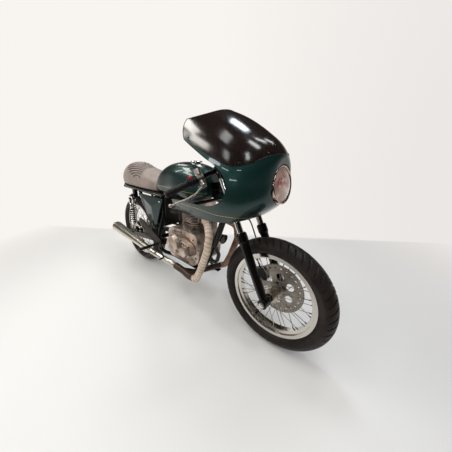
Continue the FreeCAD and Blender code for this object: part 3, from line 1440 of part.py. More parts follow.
# Headlamp: a chromed bowl with its ring, and a domed lens. Both are turned about X.
lamp_place = FreeCAD.Placement(Vector(size.lamp_x, 0, size.lamp_z),
                               FreeCAD.Rotation(Y_AXIS, -size.lamp_tilt))
revolved_body("headlamp_bowl", [
    ("0", "lamp_radius - 9"),
    ("4", "lamp_radius - 6"),
    ("0", "lamp_radius", ("4", "lamp_radius - 2")),
    ("-24", "lamp_radius - 1"),
    ("-24", "lamp_radius - 5"),
    ("-lamp_depth", "40", ("-lamp_depth + 42", "lamp_radius - 22")),
    ("-lamp_depth", "0"),
    ("-lamp_depth + lamp_wall", "0"),
    ("-lamp_depth + lamp_wall", "40 - lamp_wall"),
    ("-10", "lamp_radius - 9", ("-lamp_depth + 44", "lamp_radius - 26")),
], lamp_place, "XY_Plane", "H_Axis")
revolved_body("headlamp_lens", [
    ("-8", "0"),
    ("-8", "lamp_radius - 9 - running_gap"),
    ("-3", "lamp_radius - 9 - running_gap"),
    ("lens_rise", "6", ("lens_rise * 0.72", "lamp_radius * 0.5")),
    ("lens_rise", "0"),
], lamp_place, "XY_Plane", "H_Axis")


def fairing_stays():
    """The stays: one ahead of the head tube that carries the lamp and the fairing's sides, and
    one under the tank's nose for the fairing's tails."""
    tilt = math.radians(size.lamp_tilt)
    level = size.lamp_z - size.lamp_depth * math.sin(tilt)
    cross_x = size.lamp_x - size.lamp_depth * math.cos(tilt) - size.stay_radius - 4
    head = on_steering_axis(head_high - 72)
    start = head + X_AXIS * (size.head_tube_radius / fork_up.z + 2)
    arm = tube([start, Vector(cross_x - 60, 0, level), Vector(cross_x, 0, level)],
               size.stay_radius, 60)
    reach = size.fairing_width / 2
    across = rod(Vector(cross_x, -reach, level), Vector(cross_x, reach, level), size.stay_radius)
    bowl_back = -size.lamp_depth - gap
    lug = block((bowl_back - size.stay_radius - 4, bowl_back), (-14, 14), (-12, 12))
    lug.Placement = lamp_place
    low = rod(Vector(256, -reach, size.tank_floor - 4 - gap - size.stay_radius),
              Vector(256, reach, size.tank_floor - 4 - gap - size.stay_radius), size.stay_radius)
    inside = fairing_form(size.fairing_wall + gap)
    upper = fused([arm, across, lug]).common(inside.fuse(block((0, 500), (-50, 50), (700, 1000))))
    feature("fairing_stays", Part.makeCompound([upper, low.common(inside)]))


fairing_stays()


def horn():
    """A round horn on the downtube."""
    centre = Vector(case_front + 72, 62, size.crank_z + 62)
    can = Part.makeCone(34, 26, 30, centre, Vector(-1, 0, 0.15))
    strap = block((case_front + 50, case_front + 55), (size.downtube_radius + gap, 62),
                  (size.crank_z + 56, size.crank_z + 68))
    feature("horn", fused([can, strap]))


horn()

# Foot controls


def rearsets():
    """Each side: an alloy plate outside the frame's post, a peg and a pedal. The right plate
    also holds the silencer's strap."""
    face = size.rearset_face + 2
    outer = face + size.rearset_thickness
    outline = [(size.pivot_x + 50, 350), (size.pivot_x + 46, 420), (-300, 480), (-420, 530),
               (-446, 512), (-430, 480), (-300, 400), (-200, 345)]
    base = plate(outline, -face, -outer)
    peg_root = Vector(size.peg_x, -outer + 2, size.peg_z)
    peg_start = Vector(size.peg_x, -size.peg_start, size.peg_z)
    hanger = rod(peg_root, peg_start, 9)
    peg = rod(peg_start, peg_start - Y_AXIS * size.peg_length, size.peg_radius)
    seat = rod(Vector(size.pivot_x, -face - 2, size.pivot_z),
               Vector(size.pivot_x, -(post_y + size.cradle_radius + 1 + gap), size.pivot_z), 16)
    side = fused([base, hanger, peg, seat])
    pedal = tube([Vector(-150, -outer - 8, 352), Vector(-60, -outer - 40, 340),
                  Vector(-20, -outer - 62, 345), Vector(-20, -outer - 92, 346)], 6, 20)
    boss = rod(Vector(-150, -outer + 2, 352), Vector(-150, -outer - 15, 352), 10)
    right = fused([side, pedal, boss])
    feature("rearsets", Part.makeCompound([right, mirrored(right)]))


rearsets()

# Tail lamp: a small round lamp on the hump's back.
revolved_body("tail_lamp", [
    ("0", "0"),
    ("0", "tail_lamp_radius"),
    ("-20", "tail_lamp_radius"),
    ("-29.6", "5", ("-27", "tail_lamp_radius * 0.6")),
    ("-29.6", "0"),
], at(size.seat_tail - gap, 0, size.seat_floor + 40), "XY_Plane", "H_Axis")

# Side stand: it splays outward and forward, and its foot lies flat on the ground at the lean.
lean = math.radians(size.lean_angle)
crown_rise = size.front_tyre_radius - size.flange_radius - size.sidewall_rise
crown_radius = ((size.front_tyre_width / 2) ** 2 + crown_rise ** 2) / (2 * crown_rise)
lift = crown_radius * (1 - math.cos(lean))
tip_over = FreeCAD.Rotation(X_AXIS, -size.lean_angle)
parked = FreeCAD.Placement(Vector(-size.origin_ahead, -size.origin_left, lift), tip_over)


def side_stand():
    pivot = stand_pivot
    hinge = stand_hinge
    rake = math.radians(size.stand_rake)
    down = Vector(0, math.sin(stand_splay), -math.cos(stand_splay))
    way = down * math.cos(rake) + X_AXIS * math.sin(rake)
    ground_up = tip_over.inverted().multVec(Z_AXIS)
    thick = size.stand_foot_thickness
    height = parked.multVec(pivot).z
    length = (height - thick / 2) / -way.dot(ground_up)
    foot = pivot + way * length
    leg = rod(pivot, foot, size.stand_radius)
    eye = Part.makeCylinder(17, 24, pivot - hinge * 12, hinge)
    sole = Part.makeBox(64, 44, thick, Vector(-32, -16, -thick / 2))
    sole.Placement = FreeCAD.Placement(foot, tip_over.inverted())
    bolt = Part.makeCylinder(6 + gap, 40, pivot - hinge * 20, hinge)
    below = Part.makeBox(400, 400, 60, Vector(-200, -200, -60 - thick / 2))
    below.Placement = FreeCAD.Placement(foot, tip_over.inverted())
    stand = fused([leg, eye, sole]).cut(below).cut(bolt)
    feature("side_stand", stand)


side_stand()

# Check every piece, tip it over to the parked lean and write it

doc.recompute()
for thing in doc.Objects:
    if "Invalid" in thing.State or "Error" in thing.State:
        raise RuntimeError(f"{thing.Label} did not build: {thing.State}")
for thing in pieces:
    shape = thing.Shape
    if shape.isNull() or not shape.isValid() or not shape.Solids:
        raise RuntimeError(f"{thing.Label} is not a valid solid")
    thing.Placement = parked.multiply(thing.Placement)
doc.recompute()

os.makedirs("parts", exist_ok=True)
for thing in pieces:
    thing.Shape.exportStep(f"parts/{thing.Label}.step")
print(len(pieces), "pieces")
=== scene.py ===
"""A cafe racer motorcycle leaning on its side stand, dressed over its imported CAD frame.
Metres, Z up, the nose towards +X and the rider's right towards -Y."""

import math

import bmesh
import bpy
import numpy as np
from mathutils import Matrix, Vector
from mathutils.bvhtree import BVHTree


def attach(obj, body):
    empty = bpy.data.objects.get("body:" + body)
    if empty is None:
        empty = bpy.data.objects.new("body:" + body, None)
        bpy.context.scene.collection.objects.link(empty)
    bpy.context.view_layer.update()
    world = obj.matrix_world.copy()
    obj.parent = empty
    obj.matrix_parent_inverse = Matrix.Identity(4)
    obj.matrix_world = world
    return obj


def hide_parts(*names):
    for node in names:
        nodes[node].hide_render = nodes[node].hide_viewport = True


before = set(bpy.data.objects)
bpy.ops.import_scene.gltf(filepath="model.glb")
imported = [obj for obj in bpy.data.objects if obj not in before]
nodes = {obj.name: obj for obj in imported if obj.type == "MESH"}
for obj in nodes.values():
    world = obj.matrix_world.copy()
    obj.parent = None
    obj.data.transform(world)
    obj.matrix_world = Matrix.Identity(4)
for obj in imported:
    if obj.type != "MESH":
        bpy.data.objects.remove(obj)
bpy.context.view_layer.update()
scene = bpy.context.scene
scene.view_settings.view_transform = "Standard"

# Camera: a wide lens a little above the handlebars, off the right of the front wheel, where
# the photograph was taken. Its place was fitted to both wheels of the CAD model.
CAMERA_SPOT = (1.06760, -0.83123, 1.09913)
CAMERA_TURN = (66.1648, 1.2270, 40.9753)
camera = bpy.data.objects.new("camera", bpy.data.cameras.new("camera"))
camera.data.sensor_width = 36
camera.data.lens = 15.522
camera.data.clip_start = 0.02
camera.location = CAMERA_SPOT
camera.rotation_euler = [math.radians(a) for a in CAMERA_TURN]
scene.collection.objects.link(camera)
scene.camera = camera

# Studio: a pale painted floor that runs into a warm white wall, under soft square lamps in
# rows. The lamps' rows are what the screen, the tank and the chrome mirror.


def linear(hex_code):
    """An sRGB hex colour as the linear colour that a shader takes."""
    parts = [int(hex_code[i:i + 2], 16) / 255 for i in (1, 3, 5)]
    return [p / 12.92 if p <= 0.04045 else ((p + 0.055) / 1.055) ** 2.4 for p in parts] + [1.0]


def add(tree, kind, feeds=None, stops=(), **settings):
    """Adds a shader node with its settings, what feeds its inputs and a ramp's colour stops."""
    made = tree.nodes.new("ShaderNode" + kind)
    for name, setting in settings.items():
        setattr(made, name, setting)
    for i, (position, colour) in enumerate(stops):
        made.color_ramp.elements[i].position = position
        made.color_ramp.elements[i].color = linear(colour)
    return feed(made, feeds or {})


def feed(node, feeds):
    """Gives each named input a value or a hex colour, or links it to an output or to a node's
    first output."""
    for name, given in feeds.items():
        if isinstance(given, str):
            given = linear(given)
        if isinstance(given, bpy.types.Node):
            given = given.outputs[0]
        if isinstance(given, bpy.types.NodeSocket):
            node.id_data.links.new(given, node.inputs[name])
        else:
            node.inputs[name].default_value = given
    return node


def blank(material):
    """The emptied node tree of a material or world."""
    material.use_nodes = True
    material.node_tree.nodes.clear()
    return material.node_tree


def wall_colour(tree, way):
    """The wall's tone along a direction: whitest to the left, greyer to the right, a painted shade.
    """
    aside = add(tree, "VectorMath", {0: way, 1: RIGHTWARD}, operation="DOT_PRODUCT")
    wall_painted_shade = add(tree, "MapRange", {"Value": aside.outputs["Value"], "From Max": 0.7})
    return add(tree, "MixRGB", {"Fac": wall_painted_shade, "Color1": "#f8f4f0", "Color2": "#ebe7e4"})


# painted floor: matt, with a wall tone past the line where the photograph's wall starts
RIGHTWARD, WALLWARD = (0.755, 0.656, 0), (-0.5396, 0.8419, 0)
WALL_LINE, WALL_BLUR = 0.92, 0.03
bpy.ops.object.select_all(action="DESELECT")
bpy.ops.mesh.primitive_grid_add(x_subdivisions=8, y_subdivisions=8, size=16)
floor = bpy.context.object
floor.name = "floor"
floor.data.materials.append(bpy.data.materials.new("painted_floor"))
tree = blank(floor.data.materials[0])
spot = add(tree, "TexCoord").outputs["Object"]
past = add(tree, "VectorMath", {0: spot, 1: WALLWARD}, operation="DOT_PRODUCT")
wall_share = add(tree, "MapRange", {"Value": past.outputs["Value"],
                                    "From Min": WALL_LINE - WALL_BLUR,
                                    "From Max": WALL_LINE + WALL_BLUR})
reach = add(tree, "VectorMath", {0: spot}, operation="LENGTH")
far_share = add(tree, "MapRange", {"Value": reach.outputs["Value"], "From Min": 1.5,
                                   "From Max": 2.8})
either = add(tree, "Math", {0: wall_share, 1: far_share}, operation="MAXIMUM")
# the floor is painted a little darker towards the right, a painted shade
across = add(tree, "VectorMath", {0: spot, 1: RIGHTWARD}, operation="DOT_PRODUCT")
rightward_painted_shade = add(tree, "MapRange", {"Value": across.outputs["Value"], "From Min": -1.0,
                                   "From Max": 1.6})
tone = add(tree, "ValToRGB", {0: rightward_painted_shade}, stops=((0.0, "#ecebe8"), (1.0, "#e1e0df")))
paint = add(tree, "BsdfDiffuse", {"Color": tone})
rays = add(tree, "LightPath")
# behind the camera the hall is dark, which only the paint and the chrome see
hall = add(tree, "MapRange", {"Value": past.outputs["Value"], "From Min": -0.7, "From Max": -1.4})
hall = add(tree, "Math", {0: hall, 1: rays.outputs["Is Glossy Ray"]}, operation="MULTIPLY")
away = add(tree, "VectorMath", {0: spot, 1: CAMERA_SPOT}, operation="SUBTRACT")
away = add(tree, "VectorMath", {0: away}, operation="NORMALIZE")
wall_tone = add(tree, "MixRGB", {"Fac": hall, "Color1": wall_colour(tree, away),
                                 "Color2": "#3b3735"})
wall_light = add(tree, "Emission", {"Color": wall_tone})
seen = add(tree, "Math", {0: rays.outputs["Is Camera Ray"], 1: rays.outputs["Is Glossy Ray"]},
           operation="MAXIMUM")
seen = add(tree, "Math", {0: seen, 1: rays.outputs["Is Transmission Ray"]}, operation="MAXIMUM")
share = add(tree, "Math", {0: seen, 1: either}, operation="MULTIPLY")
share = add(tree, "Math", {0: share, 1: hall}, operation="MAXIMUM")
mixed = add(tree, "MixShader", {0: share, 1: paint, 2: wall_light})
add(tree, "OutputMaterial", {"Surface": mixed})

world = bpy.data.worlds.new("studio")
scene.world = world
tree = blank(world)
rays = add(tree, "LightPath")
up = add(tree, "TexCoord").outputs["Generated"]
height = add(tree, "SeparateXYZ", {0: up})
dome = add(tree, "ValToRGB", {0: height.outputs["Z"]}, stops=((0.05, "#d8d4d0"), (0.26, "#241e1b")))
wallward = add(tree, "VectorMath", {0: up, 1: WALLWARD}, operation="DOT_PRODUCT")
side = add(tree, "MapRange", {"Value": wallward.outputs["Value"], "From Min": -0.45,
                              "From Max": 0.2, "To Min": 0.16, "To Max": 0.9})
mirrored = add(tree, "Background", {"Color": dome, "Strength": side})
fill = add(tree, "Background", {"Color": "#c4c2c1"})
shown = add(tree, "Background", {"Color": wall_colour(tree, up)})
mixed = add(tree, "MixShader", {0: rays.outputs["Is Glossy Ray"], 1: fill, 2: mirrored})
mixed = add(tree, "MixShader", {0: rays.outputs["Is Camera Ray"], 1: mixed, 2: shown})
add(tree, "OutputWorld", {"Surface": mixed})

# Each lamp's place, size and power, and its warmth from blue 0 to cream 1. The ones overhead are
# where the screen, the tank and the shell mirror them in the photograph.
LAMPS_AIM = Vector((0.3, 0, 0.9))
for number, (x, y, z, wide, long, watts, warmth) in enumerate([
        (0.25, 0.47, 2.3, 0.42, 0.34, 10, 0.0), (0.11, -0.52, 2.3, 0.26, 0.5, 2.6, 0.7),
        (1.00, 0.07, 2.3, 0.20, 0.5, 4.6, 0.6), (0.85, 0.64, 2.3, 0.12, 0.4, 2.4, 0.6),
        (0.83, 1.25, 2.3, 0.12, 0.4, 1.6, 0.6), (1.33, -0.83, 2.3, 0.25, 0.5, 4.6, 0.6),
        (-0.06, -1.58, 2.3, 0.3, 0.5, 3.0, 0.7), (-1.14, -0.49, 2.3, 0.7, 0.34, 9, 1.0),
        (-1.24, -1.26, 2.3, 0.7, 0.34, 9, 1.0), (-2.00, -0.95, 2.3, 0.2, 0.6, 3.0, 0.8),
        (-1.86, 0.59, 2.3, 0.2, 0.6, 3.0, 0.7), (-1.20, 1.20, 2.3, 0.25, 0.6, 3.0, 0.7),
        (0.72, -3.20, 1.35, 1.2, 0.09, 5.5, 0.5), (-0.44, -2.88, 1.99, 0.8, 0.07, 3.0, 0.5),
        (1.50, -2.77, 2.19, 0.8, 0.07, 3.0, 0.5), (-0.95, -2.10, 1.87, 0.6, 0.16, 4.4, 0.6)]):
    lamp = bpy.data.lights.new(f"softbox_{number}", "AREA")
    lamp.shape = "RECTANGLE"
    lamp.size, lamp.size_y = wide, long
    lamp.energy = watts
    lamp.color = (0.80 + 0.20 * warmth, 0.90 + 0.07 * warmth, 1.0 - 0.10 * warmth)
    holder = bpy.data.objects.new(f"softbox_{number}", lamp)
    holder.location = (x, y, z)
    holder.rotation_euler = (holder.location - LAMPS_AIM).to_track_quat("Z", "Y").to_euler()
    scene.collection.objects.link(holder)

# The bike's own upright frame, in metres: X to the nose along the ground, Y to the rider's
# left, before it leans onto its stand. Wheel and fork places are the CAD source's.
LEAN, RAKE = 4.5, 27.5
parked = (Matrix.Translation((-0.002, -0.068, 0.000171))
          @ Matrix.Rotation(math.radians(-LEAN), 4, "X"))
upright = parked.inverted()
FRONT_AXLE = Vector((0.7085, 0, 0.322))
REAR_AXLE = Vector((-0.7085, 0, 0.318))
fork = parked @ Matrix.Translation(FRONT_AXLE) @ Matrix.Rotation(math.radians(-RAKE), 4, "Y")

# Tyres: black road rubber, moulded in one piece and fitted on the rims. Curved slashes run
# from beside the centre over the shoulders, cut into the mesh. They replace the plain CAD tyres.
SLASHES = 50
GROOVE = 0.0045
SHOULDER, WALL_SWELL, WALL_FOOT = 0.279, 0.2535, 0.245
BEAD_TOP, BEAD_LOW = 0.238, 0.2296
TREAD_FROM, TREAD_TO, TREAD_FADE = 0.10, 0.93, 0.05
SLASH_WIDTH, SLASH_RAMP = 0.0125, 0.005


def new_finish(name):
    """A new finish: its node tree, the object's own place that its patterns follow, and the
    shader that makes its surface."""
    tree = blank(bpy.data.materials.new(name))
    skin = add(tree, "BsdfPrincipled")
    add(tree, "OutputMaterial", {"Surface": skin})
    return tree, add(tree, "TexCoord").outputs["Object"], skin


def pick(*objects):
    """Selects these objects alone, the first one active."""
    bpy.ops.object.select_all(action="DESELECT")
    for obj in objects:
        obj.select_set(True)
    bpy.context.view_layer.objects.active = objects[0]


def spun(corners, axis, steps, weld):
    """A closed outline of corners spun about an axis, welded, its faces turned outwards."""
    bpy.ops.object.select_all(action="DESELECT")
    bpy.ops.mesh.primitive_circle_add(vertices=len(corners), radius=0.1)
    made = bpy.context.object
    for vertex, corner in zip(made.data.vertices, corners):
        vertex.co = corner
    bpy.ops.object.mode_set(mode="EDIT")
    bpy.ops.mesh.select_all(action="SELECT")
    bpy.ops.mesh.spin(steps=steps, angle=2 * math.pi, center=(0, 0, 0), axis=axis)
    bpy.ops.mesh.select_all(action="SELECT")
    bpy.ops.mesh.remove_doubles(threshold=weld)
    bpy.ops.mesh.delete_loose()
    bpy.ops.mesh.select_all(action="SELECT")
    bpy.ops.mesh.normals_make_consistent(inside=False)
    bpy.ops.object.mode_set(mode="OBJECT")
    return made


def finish_piece(obj, name, material, body):
    """Names a new piece and its mesh, gives it its material, and fixes it to its body."""
    obj.name = obj.data.name = name
    obj.data.materials.clear()
    obj.data.materials.append(bpy.data.materials[material])
    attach(obj, body)
    return obj


def two_tones(tree, place, scale, detail, low, high):
    """A colour that drifts between two tones, each a (share of the drift, hex colour)."""
    drift = add(tree, "TexNoise", {"Vector": place, "Scale": scale, "Detail": detail})
    return add(tree, "ValToRGB", {0: drift}, stops=(low, high))


def raised_grain(tree, place, scale, detail, strength, depth):
    """A fine grain that stands out of the surface."""
    grain = add(tree, "TexNoise", {"Vector": place, "Scale": scale, "Detail": detail})
    return add(tree, "Bump", {"Height": grain, "Strength": strength, "Distance": depth})


def crown_profile(radius, width, rim_width):
    """The tyre's cross-section from bead to bead, as (radius, y), even steps on the crown."""
    bead = rim_width / 2 - 0.0043
    rise = radius - SHOULDER
    curve = ((width / 2) ** 2 + rise ** 2) / (2 * rise)
    half_angle = math.asin(width / 2 / curve)
    crown = [(radius - curve + curve * math.cos(a), curve * math.sin(a))
             for a in np.linspace(-half_angle, half_angle, 41)]
    bulge = (bead * 0.35 + width / 2 * 0.65) * 1.09
    wall = [(BEAD_LOW, bead), (BEAD_TOP, bead)]
    for t in np.linspace(0, 1, 12)[:-1]:
        first, middle, last = (1 - t) ** 2, 2 * t * (1 - t), t * t
        wall.append((WALL_FOOT * first + WALL_SWELL * middle + SHOULDER * last,
                     bead * first + bulge * middle + width / 2 * last))
    return [(r, -y) for r, y in wall] + crown + [(r, y) for r, y in reversed(wall)]


def slash_depth(turn, along, half):
    """How deep the tread is cut at a turn of the wheel and a share of the crown's half width."""
    share = abs(along) / half
    if not TREAD_FROM <= share <= TREAD_TO:
        return 0.0
    lean = 0.85 * share ** 1.3 + (0.5 if along > 0 else 0.0)
    phase = (turn * SLASHES / (2 * math.pi) + lean) % 1.0
    off = abs(phase - 0.5) * 2 * math.pi / SLASHES
    wide = SLASH_WIDTH * (1 - 0.3 * share)
    edge = min(1.0, (share - TREAD_FROM) / TREAD_FADE, (TREAD_TO - share) / TREAD_FADE)
    return GROOVE * edge * max(0.0, min(1.0, (wide - off) / SLASH_RAMP))


def mark_points(obj, name, values):
    """Stores a number for each point of a mesh, for its material to read."""
    obj.data.attributes.new(name, "FLOAT", "POINT").data.foreach_set(
        "value", np.array(values, np.float32))


def make_tyre(word, axle, radius, width, rim_width):
    """Spins the section about the axle with many fine steps, then sinks the slashes."""
    profile = crown_profile(radius, width, rim_width)
    tyre = spun([Vector((r, y, 0)) for r, y in profile], (0, 1, 0), SLASHES * 16, 0.00005)
    cuts = []
    for vertex in tyre.data.vertices:
        x, y, z = vertex.co
        r = math.hypot(x, z)
        cut = 0.0
        if r > SHOULDER:
            cut = slash_depth(math.atan2(z, x) % (2 * math.pi), y, width / 2)
            vertex.co = Vector((x * (r - cut) / r, y, z * (r - cut) / r))
        cuts.append(cut / GROOVE)
    mark_points(tyre, "groove", cuts)
    tyre.data.transform(parked @ Matrix.Translation(axle))
    bpy.ops.object.shade_smooth_by_angle(angle=math.radians(50))
    finish_piece(tyre, word + "_road_tyre", "road_rubber", word + "_wheel")
    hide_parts(word + "_tyre")


# black road rubber: moulded, matt, with a faint warm bloom and dust; soft broad highlights
tree, spot, skin = new_finish("road_rubber")
tint = two_tones(tree, spot, 14.0, 5.0, (0.35, "#1a1513"), (0.7, "#2c2421"))
bump = raised_grain(tree, spot, 900.0, 2.0, 0.25, 0.0004)
# the groove floors are painted near black, a painted shade in the cuts
sunk = add(tree, "Attribute", attribute_name="groove")
deep = add(tree, "MixRGB", {"Fac": sunk.outputs["Fac"], "Color1": tint, "Color2": "#080605"})
feed(skin, {"Base Color": deep, "Roughness": 0.46, "IOR": 1.3, "Normal": bump})
make_tyre("front", FRONT_AXLE, 0.322, 0.108, 0.068)
make_tyre("rear", REAR_AXLE, 0.318, 0.122, 0.080)

# Wheels: polished aluminium rims and hubs laced with stainless spokes. Rolled and buffed, so
# they mirror the room in a soft bright way; the drum and flanges are cast and left duller.


def wear(material, *names):
    """Puts a material on CAD nodes' own slots."""
    for name in names:
        slots = nodes[name].data.materials
        if not slots:
            slots.append(None)
        for i in range(len(slots)):
            slots[i] = bpy.data.materials[material]


def hazed_metal(name, colour, scale, detail, low, high):
    """A bare metal whose roughness drifts between two values, as its polishing left it."""
    tree, spot, skin = new_finish(name)
    haze = add(tree, "TexNoise", {"Vector": spot, "Scale": scale, "Detail": detail})
    rough = add(tree, "MapRange", {"Value": haze, "To Min": low, "To Max": high})
    feed(skin, {"Base Color": colour, "Metallic": 1.0, "Roughness": rough})


hazed_metal("polished_aluminium", "#d2cdc6", 26.0, 4.0, 0.09, 0.24)
wear("polished_aluminium", "front_rim", "rear_rim", "rear_brake_plate")
# drawn stainless wire, duller than the rims
hazed_metal("stainless_wire", "#a9a39d", 60.0, 2.0, 0.22, 0.4)
wear("stainless_wire", "front_spokes", "rear_spokes", "front_axle", "rear_axle")

# cast alloy hub: sand cast and turned, grey with a fine grain
tree, spot, skin = new_finish("cast_alloy_hub")
tint = two_tones(tree, spot, 18.0, 4.0, (0.3, "#9f9588"), (0.7, "#c9c0b4"))
bump = raised_grain(tree, spot, 320.0, 3.0, 0.35, 0.0004)
feed(skin, {"Base Color": tint, "Metallic": 1.0, "Roughness": 0.36, "Normal": bump})
wear("cast_alloy_hub", "front_hub", "rear_hub")

# brake disc: ground stainless iron with a warm cast, concentric grinding lines and small drilled
# holes, drawn in the material between the CAD model's own larger slots
HOLE_ROW, HOLES_ROUND, HOLE_SHARE, DRILLED_FROM = 0.0088, 72, 0.27, 0.102
tree, spot, skin = new_finish("ground_brake_steel")
turned = add(tree, "Mapping", {"Vector": spot, "Location": tuple(parked @ FRONT_AXLE),
                               "Rotation": (math.radians(-LEAN), 0, 0)}, vector_type="TEXTURE")
parts = add(tree, "SeparateXYZ", {0: turned})
flat = add(tree, "CombineXYZ", {"X": parts.outputs["X"], "Y": parts.outputs["Z"]})
distance = add(tree, "VectorMath", {0: flat}, operation="LENGTH")
lines = add(tree, "TexNoise", {"Vector": distance.outputs["Value"], "Scale": 1500.0})
angle = add(tree, "Math", {0: parts.outputs["Z"], 1: parts.outputs["X"]}, operation="ARCTAN2")
row = add(tree, "Math", {0: distance.outputs["Value"], 1: HOLE_ROW}, operation="DIVIDE")
row_number = add(tree, "Math", {0: row}, operation="FLOOR")
row_part = add(tree, "Math", {0: row}, operation="FRACT")
pitch = add(tree, "Math", {0: angle, 1: HOLES_ROUND / (2 * math.pi)}, operation="MULTIPLY")
shifted = add(tree, "Math", {0: row_number, 1: 0.37, 2: pitch}, operation="MULTIPLY_ADD")
hole_part = add(tree, "Math", {0: shifted}, operation="FRACT")
hole_at = add(tree, "CombineXYZ", {"X": row_part, "Y": hole_part})
hole_off = add(tree, "VectorMath", {0: hole_at, 1: (0.5, 0.5, 0)}, operation="DISTANCE")
drilled = add(tree, "Math", {0: hole_off.outputs["Value"], 1: HOLE_SHARE}, operation="LESS_THAN")
band = add(tree, "Math", {0: distance.outputs["Value"], 1: DRILLED_FROM}, operation="GREATER_THAN")
drilled = add(tree, "Math", {0: drilled, 1: band}, operation="MULTIPLY")
tint = add(tree, "MixRGB", {"Fac": drilled, "Color1": "#a79e92", "Color2": "#26221f"})
rough = add(tree, "MapRange", {"Value": lines, "To Min": 0.24, "To Max": 0.42})
feed(skin, {"Base Color": tint, "Metallic": 0.6, "Roughness": rough})
wear("ground_brake_steel", "front_disc")

# Fork, frame and bare steel fittings. Sliders, yokes, frame tubes and stays are mild steel or
# alloy under a thick stove enamel: near black, glossy, with a slight orange peel.
tree, spot, skin = new_finish("black_stove_enamel")
bump = raised_grain(tree, spot, 240.0, 2.0, 0.08, 0.0005)
dust = add(tree, "TexNoise", {"Vector": spot, "Scale": 9.0, "Detail": 5.0})
rough = add(tree, "MapRange", {"Value": dust, "To Min": 0.14, "To Max": 0.30})
feed(skin, {"Base Color": "#070605", "IOR": 1.4, "Roughness": rough, "Normal": bump})
wear("black_stove_enamel", "main_frame", "rear_loop", "swingarm", "fork_lowers", "fork_yokes",
     "clip_on_bars", "fairing_stays", "side_stand", "horn")

# hard chrome: plated steel tubes and shells, mirror bright with faint hairlines
hazed_metal("chrome_plate", "#e4e2de", 12.0, 3.0, 0.05, 0.13)
wear("chrome_plate", "fork_tubes", "shock_dampers", "shock_springs", "filler_cap")


def mottled(name, scale, detail, low, high, feeds):
    """A plain finish that drifts between two tones."""
    tree, spot, skin = new_finish(name)
    feed(skin, {"Base Color": two_tones(tree, spot, scale, detail, low, high), **feeds})


# worn dark anodised alloy: the rearset plates and pegs, scuffed by boots
mottled("scuffed_dark_alloy", 190.0, 3.0, (0.45, "#2b2725"), (0.75, "#4d4741"),
        {"Metallic": 0.85, "Roughness": 0.42})
wear("scuffed_dark_alloy", "rearsets", "carburettors")

# warm polished chrome ring: the headlamp's rim and bowl
hazed_metal("warm_lamp_chrome", "#bda89b", 30.0, 2.0, 0.10, 0.2)
wear("warm_lamp_chrome", "headlamp_bowl")

# satin alloy: forged and machined levers, perches and sprocket, pale warm grey
mottled("satin_forged_alloy", 70.0, 4.0, (0.0, "#a79d92"), (1.0, "#d8d0c6"),
        {"Metallic": 1.0, "Roughness": 0.34})
wear("satin_forged_alloy", "control_levers", "lever_perches", "rear_sprocket")

# moulded black plastic: a fine spark-eroded grain, low sheen
tree, spot, skin = new_finish("black_moulded_plastic")
bump = raised_grain(tree, spot, 520.0, 2.0, 0.2, 0.0003)
feed(skin, {"Base Color": "#0e0c0b", "Roughness": 0.42, "IOR": 1.38, "Normal": bump})
wear("black_moulded_plastic", "control_housings", "clocks", "battery_box", "seat_pan",
     "front_caliper")

# grip and hose rubber: moulded with ribs round the bar, soft and dull
tree, spot, skin = new_finish("ribbed_grip_rubber")
ribs = add(tree, "TexWave", {"Vector": spot, "Scale": 95.0}, bands_direction="Y")
bump = add(tree, "Bump", {"Height": ribs.outputs[1], "Strength": 0.5, "Distance": 0.0012})
feed(skin, {"Base Color": "#151110", "Roughness": 0.5, "IOR": 1.36, "Normal": bump})
wear("ribbed_grip_rubber", "grips", "brake_hose")

# Engine: sand-cast aluminium cases and a finned barrel under a thin baked silver paint that has
# turned warm. Grainy, half matt, with painted shade darkening it between the fins and in corners.
tree, spot, skin = new_finish("aged_cast_engine_alloy")
tint = two_tones(tree, spot, 16.0, 6.0, (0.36, "#7d6e62"), (0.62, "#dfccbe"))
# painted shade: the colour darkens where ambient occlusion finds narrow gaps and corners
corner = add(tree, "AmbientOcclusion", {"Distance": 0.013}, samples=6)
painted_corner_shade = add(tree, "MapRange", {"Value": corner.outputs["AO"], "From Min": 0.3, "From Max": 0.9})
tint_with_painted_shade = add(tree, "MixRGB", {"Fac": painted_corner_shade, "Color1": "#1f1814", "Color2": tint})
bump = raised_grain(tree, spot, 420.0, 3.0, 0.4, 0.0006)
feed(skin, {"Base Color": tint_with_painted_shade, "Metallic": 0.7, "Roughness": 0.36, "Normal": bump})
wear("aged_cast_engine_alloy", "crankcase", "engine_side_covers", "cylinder_block",
     "cylinder_head", "cam_cover")

# Exhaust headers: bent steel tube, each bandaged with woven glass tape in overlapping turns, pale
# cream on the right pipe and browned by heat on the left. Below the engine the joined pipes are
# bare and scorched. They replace the plain CAD pipes, on the same line and of the same size.
HEADER_RADIUS = 0.0225
TAPE_TURN = 0.024
TAPE_STEP = 0.0016
TAPE_LEVEL = 0.7
PIPE_SIDES = 28


def bent_run(corners, bend=0.060, step=0.0022):
    """Points a step apart along straight runs joined by bends, as a pipe bender makes them."""
    points = [corners[0]]
    for before, corner, after in zip(corners, corners[1:], corners[2:]):
        back, ahead = (before - corner).normalized(), (after - corner).normalized()
        turn = math.pi - back.angle(ahead)
        room = 0.48 * min((before - corner).length, (after - corner).length)
        cut = min(bend * math.tan(turn / 2), room)
        foot, head = corner + back * cut, corner + ahead * cut
        radius = cut / math.tan(turn / 2)
        middle = corner + (back + ahead).normalized() * (radius / math.cos(turn / 2) - radius)
        pull = middle * 2 - (foot + head) / 2
        points += [foot.lerp(pull, t).lerp(pull.lerp(head, t), t) for t in
                   (0, 0.125, 0.25, 0.375, 0.5, 0.625, 0.75, 0.875, 1)]
    points.append(corners[-1])
    spans = [(b - a).length for a, b in zip(points, points[1:])]
    lengths = np.concatenate([[0], np.cumsum(spans)])
    evenly = np.linspace(0, lengths[-1], int(lengths[-1] / step))
    return [Vector([float(np.interp(d, lengths, [p[k] for p in points])) for k in range(3)])
            for d in evenly], evenly


